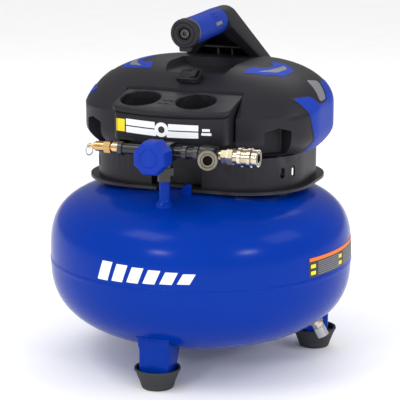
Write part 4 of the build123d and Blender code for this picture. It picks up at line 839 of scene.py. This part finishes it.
@dataclass
class Cowl:
    """The two-lobed cover over the pump, with its valley, scoops, louvres and blue panels."""

    console: "Console"
    base_z: float = 297.0
    wide_z: float = 322.0
    shoulder_z: float = 352.0
    crown_z: float = 409.0
    half_width: float = 167.0
    crown_half: float = 72.0
    front_y: float = -87.0
    crown_front_y: float = 14.0
    back_y: float = 155.0
    crown_back_y: float = 98.0
    corner: float = 96.0
    crown_corner: float = 40.0
    chamfer: float = 14.0
    wall: float = 3.0
    around: int = 224
    panel_proud: float = 0.7
    ride: Ride = Ride("frame", "shroud_plastic")

    def section(self, rise: float) -> tuple[float, float, float, float, float]:
        """Returns height, half width, front, back and corner of the plan at a share of the rise."""
        if rise < 0.12:
            share = rise / 0.12
            spread = self.chamfer * (1 - math.sin(math.pi / 2 * share))
            height = self.base_z + (self.wide_z - self.base_z) * share
            return height, self.half_width - spread, self.front_y + spread, self.back_y - spread, self.corner
        if rise < 0.24:
            height = self.wide_z + (self.shoulder_z - self.wide_z) * (rise - 0.12) / 0.12
            return height, self.half_width, self.front_y, self.back_y, self.corner
        share = (rise - 0.24) / 0.76
        spread = math.cos(math.pi / 2 * share)
        return (
            self.shoulder_z + (self.crown_z - self.shoulder_z) * math.sin(math.pi / 2 * share),
            self.crown_half + (self.half_width - self.crown_half) * spread,
            self.crown_front_y + (self.front_y - self.crown_front_y) * (1 - share),
            self.crown_back_y + (self.back_y - self.crown_back_y) * spread,
            self.crown_corner + (self.corner - self.crown_corner) * spread,
        )

    def form(self, inset: float) -> bmesh.types.BMesh:
        """Returns the closed outer form, moved inwards by an inset."""
        def shape(turn: float, along: float) -> Point3:
            """Places one point: up the wall to the crown, then in across the crown and the base."""
            rise = min(1.0, max(0.0, (along - 0.06) / 0.84))
            fill = 1.0 if 0.06 <= along <= 0.9 else (along / 0.06 if along < 0.06 else (1 - along) / 0.1)
            height, half, front, back, corner = self.section(rise)
            height -= inset * min(1.0, rise * 2.0) if inset > 0 else inset * rise
            middle = (front + back) / 2
            x, y = rounded_plan(turn, half - inset, (back - front) / 2 - inset, corner - inset)
            return (x * fill, middle + y * fill, height)
        return sheet(self.around, 50, shape)

    def features(self, grow: float) -> bmesh.types.BMesh:
        """Returns the solids that are cut from the form, grown by a wall: the valley and two scoops."""
        floor_z = 397.0 - grow
        outline = [(-40 - grow, floor_z), (40 + grow, floor_z), (58 + grow, 420.0), (-58 - grow, 420.0)]
        stand = Matrix.Rotation(math.radians(90), 4, "X")
        valley = prism(round_off(outline, 6), -62.0 - grow, 24.0 + grow, stand)
        bay = prism(self.console.outline(-0.7 - grow), self.base_z - 20, self.crown_z + 40)
        behind = [v for v in bay.verts if v.co.y > self.console.back - 1]
        bmesh.ops.translate(bay, vec=(0, grow + 0.7, 0), verts=behind)
        parts = [valley, bay]
        for side in Side:
            sign = side.value
            outline = [(-21 - grow, -19 - grow), (17 + grow, -19 - grow), (17 + grow, 14 + grow), (-2, 19 + grow),
                       (-21 - grow, 14 + grow)]
            place = Matrix.Translation((sign * 119.0, -49.0, 320.0))
            turn = Matrix.Rotation(math.radians(sign * 47.0), 4, "Z") @ Matrix.Rotation(math.radians(90), 4, "X")
            scoop = prism([(x * sign, y) for x, y in outline], -6.0 - grow, 30.0, place @ turn)
            parts.append(soften(scoop, 2.0, 3, 30))
        return gather(parts)

    def louvres(self) -> bmesh.types.BMesh:
        """Returns the solids that cut the rear louvres."""
        slots = []
        for side in Side:
            for row in range(5):
                outline = round_off([(-31, -2.5), (31, -2.5), (31, 2.5), (-31, 2.5)], 2.4)
                place = Matrix.Translation((side.value * 62.0, 175.0, 323.0 + row * 11.0))
                slots.append(prism(outline, 0.0, 80.0, place @ Matrix.Rotation(math.radians(90), 4, "X")))
        return gather(slots)

    def panel(self, outline: Sequence[Point2], low: float, high: float, place: Matrix, proud: float) -> bmesh.types.BMesh:
        """Returns a skin of the cowl inside an outline.

        Args:
            outline: The panel's corners, seen along the place's z axis.
            low: Where the outline's prism starts.
            high: Where it ends.
            place: Which way the outline faces.
            proud: How far the skin stands off the cowl.

        Returns:
            The closed skin.
        """
        stamp = prism(round_off(outline, 5), low, high, place)
        skin = carve(self.form(-proud), stamp, Carve.KEEP)
        return carve(skin, self.form(1.0), Carve.CUT)

    def build(self) -> None:
        """Builds the shell, the blue panels and their trims."""
        outer = carve(self.form(0), self.features(0), Carve.CUT)
        inner = carve(self.form(self.wall), self.features(self.wall), Carve.CUT)
        bmesh.ops.translate(inner, vec=(0, 0, -0.01), verts=inner.verts)
        shell = carve(outer, inner, Carve.CUT)
        shell = carve(shell, self.louvres(), Carve.CUT)
        add_piece(shell, "cowl_shell", self.ride, SHROUD, "shroud_cowl", smooth=32)
        blue = Ride("frame", "blue_plastic")
        sideways = Matrix(((0, 0, 1, 0), (1, 0, 0, 0), (0, 1, 0, 0), (0, 0, 0, 1)))
        for side in Side:
            sign = side.value
            low, high = sorted((sign * 112.0, sign * 185.0))
            wide = [(-30, 373), (-2, 373), (9, 361), (41, 361), (58, 384), (92, 382), (118, 352), (118, 326),
                    (84, 301), (-14, 299), (-8, 312), (-20, 345)]
            middle = Vector((46.0, 342.0))
            trim = [tuple(middle + (Vector(p) - middle) * 1.035) for p in wide]
            panel = self.panel(wide, low, high, sideways, self.panel_proud)
            add_piece(panel, f"side_panel_{side.word}", blue, BLUE_PLASTIC, f"end_panel_{side.word}")
            border = self.panel(trim, low, high, sideways, 0.3)
            add_piece(border, f"side_panel_trim_{side.word}", self.ride, BLACK_TRIM_AND_SHADE)
            tab = self.panel([(14, 364), (38, 364), (52, 386), (26, 390)], low, high, sideways, 0.9)
            add_piece(tab, f"side_panel_tab_{side.word}", self.ride, GREY_TRIM)
            mark = [(sign * x, y) for x, y in ((66, -18), (92, -12), (118, 2), (123, 33), (104, 54), (84, 48), (96, 24), (88, 8), (72, 6))]
            inlay = self.panel(mark, 350.0, 430.0, Matrix(), 0.4)
            add_piece(inlay, f"crown_inlay_{side.word}", blue, BLUE_PLASTIC, f"top_inlay_{side.word}")
            stripe = [(sign * x, y) for x, y in ((84, -8), (108, 6), (114, 30), (106, 40), (103, 22), (96, 6))]
            add_piece(self.panel(stripe, 340.0, 430.0, Matrix(), 0.65), f"crown_stripe_{side.word}", self.ride, GREY_TRIM)


def rounded_plan(turn: float, half_x: float, half_y: float, corner: float) -> Point2:
    """Returns a point of a rounded rectangle at a share of the way round it, each corner a fixed share."""
    corner = min(corner, half_x - 0.01, half_y - 0.01)
    quarter = turn * 4 % 4
    index, share = int(quarter), quarter % 1
    flat = 0.36
    reach_x, reach_y = half_x - corner, half_y - corner
    spans = (
        ((half_x, -reach_y), (half_x, reach_y), (reach_x, reach_y), 0.0),
        ((reach_x, half_y), (-reach_x, half_y), (-reach_x, reach_y), math.pi / 2),
        ((-half_x, reach_y), (-half_x, -reach_y), (-reach_x, -reach_y), math.pi),
        ((-reach_x, -half_y), (reach_x, -half_y), (reach_x, -reach_y), 1.5 * math.pi),
    )
    start, end, centre, angle = spans[index]
    if share < flat:
        part = share / flat
        return (start[0] + (end[0] - start[0]) * part, start[1] + (end[1] - start[1]) * part)
    sweep = angle + math.pi / 2 * (share - flat) / (1 - flat)
    return (centre[0] + corner * math.cos(sweep), centre[1] + corner * math.sin(sweep))


@dataclass
class Console:
    """The control panel: a tilted deck with two deep wells over a bowed face with blank print bars."""

    left: float = -86.0
    right: float = 80.0
    front: float = -122.0
    back: float = -52.0
    end_y: float = -98.0
    bottom_z: float = 319.0
    front_top_z: float = 362.0
    tilt: float = 13.0
    bow: float = 9.0
    well_y: float = -82.0
    well_x: tuple[float, float] = (-55.0, 23.5)
    well_radius: float = 27.0
    well_depth: float = 40.0
    ride: Ride = Ride("frame", "shroud_plastic")

    def face_y(self, x: float, inset: float = 0.0) -> float:
        """Returns the bowed front face's y at an x."""
        middle = (self.left + self.right) / 2
        chord = (self.right - self.left) / 2 - 9.0
        bend = (chord**2 + self.bow**2) / (2 * self.bow)
        return self.front + inset + bend - math.sqrt(bend**2 - min(abs(x - middle), chord) ** 2)

    def outline(self, inset: float) -> list[Point2]:
        """Returns the plan, inset: a bowed front, rounded ends and a straight back."""
        reach = (self.right - self.left) / 2 - 12.0
        middle = (self.left + self.right) / 2
        half = (self.right - self.left) / 2 - inset
        bowed = [middle - reach + 2 * reach * step / 24 for step in range(25)]
        front = [(x, self.face_y(x, inset)) for x in bowed]
        corner = []
        for step in range(8):
            t = step / 8
            x = half * (1 - t) ** 2 + half * 2 * t * (1 - t) + reach * t**2
            y = self.end_y * (1 - t) ** 2 + front[0][1] * (2 * t * (1 - t) + t**2)
            corner.append((x, y))
        left_end = [(middle - x, y) for x, y in corner]
        right_end = [(middle + x, y) for x, y in reversed(corner)]
        return left_end + front + right_end + [(middle + half, self.back), (middle - half, self.back)]

    def deck_plane(self, drop: float) -> tuple[Vector, Vector]:
        """Returns a point and the normal of a plane under the tilted deck."""
        lean = math.radians(self.tilt)
        normal = Vector((0, -math.sin(lean), math.cos(lean)))
        return Vector((0, self.front, self.front_top_z)) - normal * drop, normal

    def slab(self, inset: float, top_drop: float, low_drop: float | None) -> bmesh.types.BMesh:
        """Returns the plan's prism between two planes that follow the deck, or down to the bottom edge."""
        bm = prism(self.outline(inset), self.bottom_z, 420.0)
        for drop, above in ((top_drop, True), (low_drop, False)):
            if drop is None:
                continue
            point, normal = self.deck_plane(drop)
            made = bmesh.ops.bisect_plane(
                bm, geom=bm.verts[:] + bm.edges[:] + bm.faces[:], plane_co=point, plane_no=normal,
                clear_outer=above, clear_inner=not above,
            )["geom_cut"]
            bmesh.ops.edgeloop_fill(bm, edges=[e for e in made if isinstance(e, bmesh.types.BMEdge)])
        return tidy(bm)

    def well_cutter(self, x: float, radius: float, lip: float) -> bmesh.types.BMesh:
        """Returns the solid that cuts one well, flared at its rim by the lip."""
        point, normal = self.deck_plane(0)
        rim_z = point.z + (self.well_y - self.front) * math.tan(math.radians(self.tilt))
        profile = [(0, -self.well_depth), (radius, -self.well_depth), (radius, -lip * 1.6), (radius + lip * 0.3, -lip * 0.7),
                   (radius + lip, 0.0), (radius + lip * 2, lip), (radius + lip * 2, 20), (0, 20)]
        return lathe(profile, axis_frame((x, self.well_y, rim_z), normal), 96)

    def build(self) -> None:
        """Builds the deck, the body, the black groove that paints the shadow under the deck, the well liners, the print
        and the small raised marks.
        """
        body = soften(self.slab(2.4, 9.0, None), 2.0, 3, 30)
        deck = soften(self.slab(0.0, 0.0, 6.5), 1.8, 4, 30)
        # The neck between deck and body is black trim, darker than the shroud: painted shade for the shadow under the
        # deck's overhang.
        neck = self.slab(5.0, 4.0, 12.0)
        for x in self.well_x:
            body = carve(body, self.well_cutter(x, self.well_radius + 2.0, 0.2), Carve.CUT)
            deck = carve(deck, self.well_cutter(x, self.well_radius, 1.2), Carve.CUT)
            neck = carve(neck, self.well_cutter(x, self.well_radius + 2.0, 0.2), Carve.CUT)
        add_piece(body, "console_face", self.ride, SHROUD, "console")
        add_piece(deck, "console_deck", self.ride, SHROUD)
        add_piece(neck, "console_groove_painted_shade", self.ride, BLACK_TRIM_AND_SHADE)
        for side, x in zip(Side, self.well_x):
            self.liner(side, x)
        self.print_bars()

    def liner(self, side: Side, x: float) -> None:
        """Builds one well's glossy liner, dial and tick marks."""
        point, normal = self.deck_plane(0)
        rim_z = point.z + (self.well_y - self.front) * math.tan(math.radians(self.tilt))
        place = axis_frame((x, self.well_y, rim_z), normal)
        outer, inner = self.well_radius + 1.9, self.well_radius - 0.1
        profile = [(outer, -self.well_depth + 1), (outer, -1.6), (inner, -1.6), (inner, -28.6), (inner - 3, -29.6),
                   (inner - 3, -33.0), (0, -33.0), (0, -self.well_depth + 1)]
        add_piece(lathe(profile, place, 96), f"well_liner_{side.word}", self.ride, WELL_GLOSS)
        ticks = []
        for index in range(31):
            angle = math.radians(-135 + 9 * index)
            major = index % 5 == 0
            length, width = (4.0, 1.0) if major else (2.2, 0.5)
            turn = Matrix.Rotation(angle, 4, "Z")
            tick = block((0, 0, 0), (width, length, 0.3))
            shift = Matrix.Translation((0, 20.6 - length / 2, -31.4))
            bmesh.ops.transform(tick, matrix=place @ turn @ shift, verts=tick.verts)
            ticks.append(soften(tick, 0.08, 1, 60))
        add_piece(gather(ticks), f"dial_ticks_{side.word}", Ride("frame", "gauge_case"), BLACK_TRIM_AND_SHADE)

    def bar(self, span: Point2, z_low: Point2, z_high: Point2) -> bmesh.types.BMesh:
        """Returns a thin print on the bowed face.

        Args:
            span: Its left and right x.
            z_low: The heights of its lower edge at the left and the right.
            z_high: The heights of its upper edge at the left and the right.

        Returns:
            The closed mesh.
        """
        def shape(across: float, up: float) -> Point3:
            """Places one point of the print's outer face."""
            x = span[0] + (span[1] - span[0]) * across
            low = z_low[0] + (z_low[1] - z_low[0]) * across
            high = z_high[0] + (z_high[1] - z_high[0]) * across
            return (x, self.face_y(x, 2.4) - 0.3, low + (high - low) * up)
        bm = sheet(14, 2, shape)
        bmesh.ops.solidify(bm, geom=bm.faces, thickness=0.5)
        bmesh.ops.recalc_face_normals(bm, faces=bm.faces)
        return bm

    def print_bars(self) -> None:
        """Builds the blank label: a yellow block, four white bars, a round rosette and two small dashes."""
        add_piece(self.bar((-78, -65), (330.6, 330.6), (347.2, 347.2)), "label_block", self.ride, YELLOW_PRINT)
        bars = [
            self.bar((-63, -20), (339.8, 338.4), (348.2, 346.9)), self.bar((-63, -18), (330.0, 328.4), (338.2, 336.7)),
            self.bar((-1, 40), (337.4, 337.8), (345.6, 345.6)), self.bar((-3, 40), (327.6, 328.4), (336.0, 336.2)),
        ]
        for x, z, width in ((45, 337.8, 10), (44, 332.6, 13)):
            bars.append(self.bar((x, x + width), (z, z), (z + 3.4, z + 3.4)))
        add_piece(gather(bars), "label_bars", self.ride, WHITE_PRINT)
        centre = (-10.5, self.face_y(-10.5, 2.4), 337.4)
        place = axis_frame(centre, (0, -1, 0))
        ring = [(9.6, -0.5), (9.6, 0.45), (4.6, 0.45), (4.6, -0.5)]
        add_piece(lathe(ring, place, 64), "label_rosette", self.ride, WHITE_PRINT)
        add_piece(lathe([(0, -0.5), (3.2, -0.5), (3.2, 0.45), (0, 0.45)], place, 48), "label_rosette_hub", self.ride, DARK_PRINT)
        point, normal = self.deck_plane(0)
        marks = []
        for index, (x, y) in enumerate(((-18, -86), (-10, -86), (-22, -95), (-14, -95))):
            z = point.z + (y - self.front) * math.tan(math.radians(self.tilt))
            pip = prism(round_off([(-3.2, -1.6), (3.2, -1.6), (3.2, 1.6), (-3.2, 1.6)], 1.2), -0.5, 0.8,
                        axis_frame((x, y, z), normal))
            marks.append(soften(pip, 0.3, 2, 50))
        add_piece(gather(marks), "deck_pips", self.ride, BLACK_TRIM_AND_SHADE)


# ---------------------------------------------------------------- handle


@dataclass
class Handle:
    """The A-frame hood at the back and the grip that reaches forward from it."""

    front_y: float = 58.0
    back_foot_y: float = 140.0
    base_z: float = 375.0
    foot_x: float = 70.0
    slope: float = 56.5
    apex_z: float = 494.0
    apex_radius: float = 18.5
    back_wall: float = 3.0
    grip_front: Point3 = (0.0, -52.0, 457.0)
    grip_rise: float = 0.03
    grip_radius: float = 18.8
    grip_length: float = 113.0
    cap_radius: float = 20.0
    cap_depth: float = 12.0

    def trim(self, bm: bmesh.types.BMesh, inset: float) -> bmesh.types.BMesh:
        """Slices a block to the leaning slab.

        Args:
            bm: the block to slice.
            inset: how far the back face moves forward.

        Returns:
            The same mesh, closed again along both slices.
        """
        cuts = (((0, 140.0 - inset, self.base_z), (0, 119, 48)), ((0, self.front_y, 452.0), (0, -77, -54)))
        for point, normal in cuts:
            made = bmesh.ops.bisect_plane(
                bm, geom=bm.verts[:] + bm.edges[:] + bm.faces[:], plane_co=point, plane_no=Vector(normal).normalized(),
                clear_outer=True,
            )["geom_cut"]
            bmesh.ops.edgeloop_fill(bm, edges=[e for e in made if isinstance(e, bmesh.types.BMEdge)])
        return tidy(bm)

    def arms(self) -> bmesh.types.BMesh:
        """Returns the hood: a rounded gable that leans back, soft-edged and hollow below."""
        lean = math.radians(self.slope)
        foot = self.apex_z - self.foot_x * math.tan(lean)
        centre = self.apex_z - self.apex_radius / math.cos(lean)
        gable = [(-self.foot_x, self.base_z), (-self.foot_x, foot)]
        for step in range(15):
            turn = lean * (step / 7 - 1)
            gable.append((self.apex_radius * math.sin(turn), centre + self.apex_radius * math.cos(turn)))
        gable += [(self.foot_x, foot), (self.foot_x, self.base_z)]
        stand = Matrix.Rotation(math.radians(90), 4, "X")
        bm = self.trim(prism(gable, -self.back_foot_y, -self.front_y, stand), 0.0)
        soften(bm, 4.0, 5, 32)
        outline = round_off([(-46, 340), (-46, 404), (0, 452), (46, 404), (46, 340)], 10)
        hollow = prism(outline, -self.back_foot_y, -20.0, stand)
        back = bmesh.ops.bisect_plane(
            hollow, geom=hollow.verts[:] + hollow.edges[:] + hollow.faces[:],
            plane_co=(0, self.back_foot_y - self.back_wall, self.base_z), plane_no=Vector((0, 119, 48)).normalized(),
            clear_outer=True,
        )["geom_cut"]
        bmesh.ops.edgeloop_fill(hollow, edges=[e for e in back if isinstance(e, bmesh.types.BMEdge)])
        return carve(bm, tidy(hollow), Carve.CUT)

    def grip_place(self) -> Matrix:
        """Returns the frame at the grip's front end, its z axis along the grip."""
        return axis_frame(self.grip_front, (0, 1, self.grip_rise))

    def build(self) -> None:
        """Builds the hood, its black inner shelf that paints the shade inside it, the grip sleeve, its trims and the
        end cap.
        """
        charcoal = Ride("frame", "shroud_plastic")
        add_piece(self.arms(), "handle_hood", charcoal, SHROUD, "handle_frame")
        # The shelf and ribs in the hood's hollow are black trim, darker than the shroud: painted shade for the dark
        # inside of the hood.
        shelf = soften(block((0, 102, 421), (76, 34, 2.6)), 0.8, 2)
        ribs = [soften(block((x, 104, 412), (3, 22, 16)), 0.8, 2) for x in (-9, 12)]
        add_piece(gather([shelf, *ribs]), "hood_shelf_painted_shade", charcoal, BLACK_TRIM_AND_SHADE)
        place = self.grip_place()
        core = [(0, -6), (14.9, -6), (14.9, self.grip_length + 26), (0, self.grip_length + 26)]
        add_piece(lathe(core, place, 64), "grip_core", charcoal, SHROUD)
        length = self.grip_length
        profile = [(14.95, 2.0), (17.6, 2.0), (18.4, 3.0), (18.6, 5.0)]
        profile += [(self.grip_radius - 0.5 * math.sin(math.pi * s / 12) ** 2 * 0.6, 6 + (length - 12) * s / 12) for s in range(13)]
        profile += [(18.4, length - 2), (17.4, length), (14.95, length)]
        soft = Ride("frame", "blue_rubber")
        add_piece(lathe(profile, place, 96), "grip_sleeve_soft", soft, BLUE_RUBBER, "grip_sleeve")
        band = [(14.95, -1.0), (18.9, -1.0), (19.2, -0.4), (19.2, 1.2), (18.6, 1.9), (14.95, 1.9)]
        add_piece(lathe(band, place, 96), "grip_band", charcoal, GREY_TRIM)
        self.end_cap(place, charcoal)
        self.grip_marks(place, soft)

    def end_cap(self, place: Matrix, ride: Ride) -> None:
        """Builds the end cap with its concentric steps, its catch and its centre plug."""
        depth, radius = self.cap_depth, self.cap_radius
        profile = [(0, -1.1), (radius - 1.0, -1.1), (radius, -2.2), (radius, -depth + 3), (radius - 0.8, -depth + 1.2),
                   (radius - 2.6, -depth), (15.6, -depth), (15.0, -depth + 0.8), (14.2, -depth + 0.8), (13.6, -depth),
                   (10.4, -depth + 0.4), (9.8, -depth + 1.6), (8.6, -depth + 1.8), (8.2, -depth + 6), (0, -depth + 6)]
        add_piece(lathe(profile, place, 96), "end_cap", ride, SHROUD, "grip_end_cap")
        catch = round_off([(-7.5, -24.2), (7.5, -24.2), (8, -16), (-8, -16)], 2)
        add_piece(soften(prism(catch, -depth + 1.5, -1.6, place), 0.7, 2), "end_cap_catch", ride, SHROUD)

    def grip_marks(self, place: Matrix, ride: Ride) -> None:
        """Builds the raised bars and the grey badge blank on the grip's upper right."""
        def patch(turn_span: Point2, z_span: Point2, proud: float) -> bmesh.types.BMesh:
            """Returns a raised pad that follows the sleeve."""
            def shape(across: float, along: float) -> Point3:
                """Places one point of the pad's outer face."""
                angle = math.radians(turn_span[0] + (turn_span[1] - turn_span[0]) * across)
                edge = min(across, 1 - across, along, 1 - along)
                lift = proud * min(1.0, edge * 8)
                radius = self.grip_radius - 0.5 + lift
                return (radius * math.cos(angle), radius * math.sin(angle), z_span[0] + (z_span[1] - z_span[0]) * along)
            bm = sheet(16, 16, shape)
            bmesh.ops.solidify(bm, geom=bm.faces, thickness=0.4)
            bmesh.ops.recalc_face_normals(bm, faces=bm.faces)
            bmesh.ops.transform(bm, matrix=place, verts=bm.verts)
            return bm
        bars = [patch((118 + row * 14, 126 + row * 14), (62, 82), 1.3) for row in range(3)]
        add_piece(gather(bars), "grip_bars", ride, BLUE_RUBBER)
        add_piece(patch((164, 180), (64, 86), 1.3), "grip_badge_blank", Ride("frame", "shroud_plastic"), GREY_TRIM)


# ---------------------------------------------------------------- studio


@dataclass
class Studio:
    """A pale floor, soft lights and the camera."""

    target: Point3 = (0.0, 0.0, 0.2183)
    azimuth: float = 20.5
    elevation: float = 12.957
    distance: float = 2.2793
    lens: float = 147.97
    shift: float = -0.0024

    def aim(self, holder: bpy.types.Object, azimuth: float, elevation: float, distance: float) -> None:
        """Stands an object on a sphere about the target, facing it. Azimuth 0 is the product's front."""
        turn, lift = math.radians(azimuth), math.radians(elevation)
        away = Vector((math.sin(turn) * math.cos(lift), -math.cos(turn) * math.cos(lift), math.sin(lift)))
        holder.location = Vector(self.target) + away * distance
        holder.rotation_euler = away.to_track_quat("Z", "Y").to_euler()

    def light(self, name: str, watts: float, size: Point2, place: Point3) -> None:
        """Adds a soft rectangular light at an azimuth, elevation and distance."""
        lamp = bpy.data.lights.new(name, "AREA")
        lamp.shape = "RECTANGLE"
        lamp.energy = watts
        lamp.size, lamp.size_y = size
        holder = bpy.data.objects.new(name, lamp)
        bpy.context.scene.collection.objects.link(holder)
        self.aim(holder, *place)

    def floor(self) -> None:
        """Lays the pale floor."""
        bm = bmesh.new()
        bmesh.ops.create_grid(bm, x_segments=24, y_segments=24, size=6.0)
        mesh = bpy.data.meshes.new("floor")
        bm.to_mesh(mesh)
        bm.free()
        floor = bpy.data.objects.new("floor", mesh)
        paper = Finish("pale_paper", (0.93, 0.93, 0.94), 0.95, spread=0.01, grain_depth=0.01, edge_wear_and_highlight=0.0, dust=0.0)
        mesh.materials.append(paper.build())
        bpy.context.scene.collection.objects.link(floor)

    def surroundings(self) -> None:
        """Makes the world white to look at and to light by, and dimmer in reflections."""
        world = bpy.data.worlds.new("studio")
        world.use_nodes = True
        graph = Graph(world.node_tree)
        mirrored = graph.add("ShaderNodeLightPath").outputs["Is Glossy Ray"]
        strength = graph.remap(mirrored, (0, 1), (1.0, 0.35))
        backdrop = world.node_tree.nodes["Background"]
        backdrop.inputs["Color"].default_value = (1.0, 1.0, 1.0, 1.0)
        world.node_tree.links.new(strength, backdrop.inputs["Strength"])
        bpy.context.scene.world = world
        bpy.context.scene.view_settings.view_transform = "Standard"

    def build(self) -> None:
        """Builds the floor, the lights, the world and the camera."""
        self.floor()
        self.light("key", 14.0, (1.2, 0.8), (-40.0, 55.0, 2.6))
        self.light("fill", 8.0, (1.2, 0.9), (95.0, 38.0, 2.6))
        self.light("spot_left", 9.0, (0.42, 0.2), (-10.5, 20.6, 2.4))
        self.light("spot_right", 9.0, (0.42, 0.2), (55.7, 20.2, 2.4))
        self.light("back", 10.0, (1.6, 0.8), (185.0, 50.0, 2.6))
        self.surroundings()
        camera = bpy.data.cameras.new("camera")
        camera.sensor_width = 36.0
        camera.lens = self.lens
        camera.shift_x = self.shift
        holder = bpy.data.objects.new("camera", camera)
        bpy.context.scene.collection.objects.link(holder)
        self.aim(holder, self.azimuth, self.elevation, self.distance)
        bpy.context.scene.camera = holder


def main() -> None:
    """Builds every sub-assembly in order, then the studio."""
    logging.basicConfig(level=logging.INFO, format="%(name)s %(message)s")
    build_effects()
    dress_cad_nodes()
    tank = Tank()
    tank.build()
    console = Console()
    for assembly in (Stand(tank), AirLine(tank), Cowl(console), console, Handle(), Studio()):
        assembly.build()


if __name__ == "__main__":
    main()
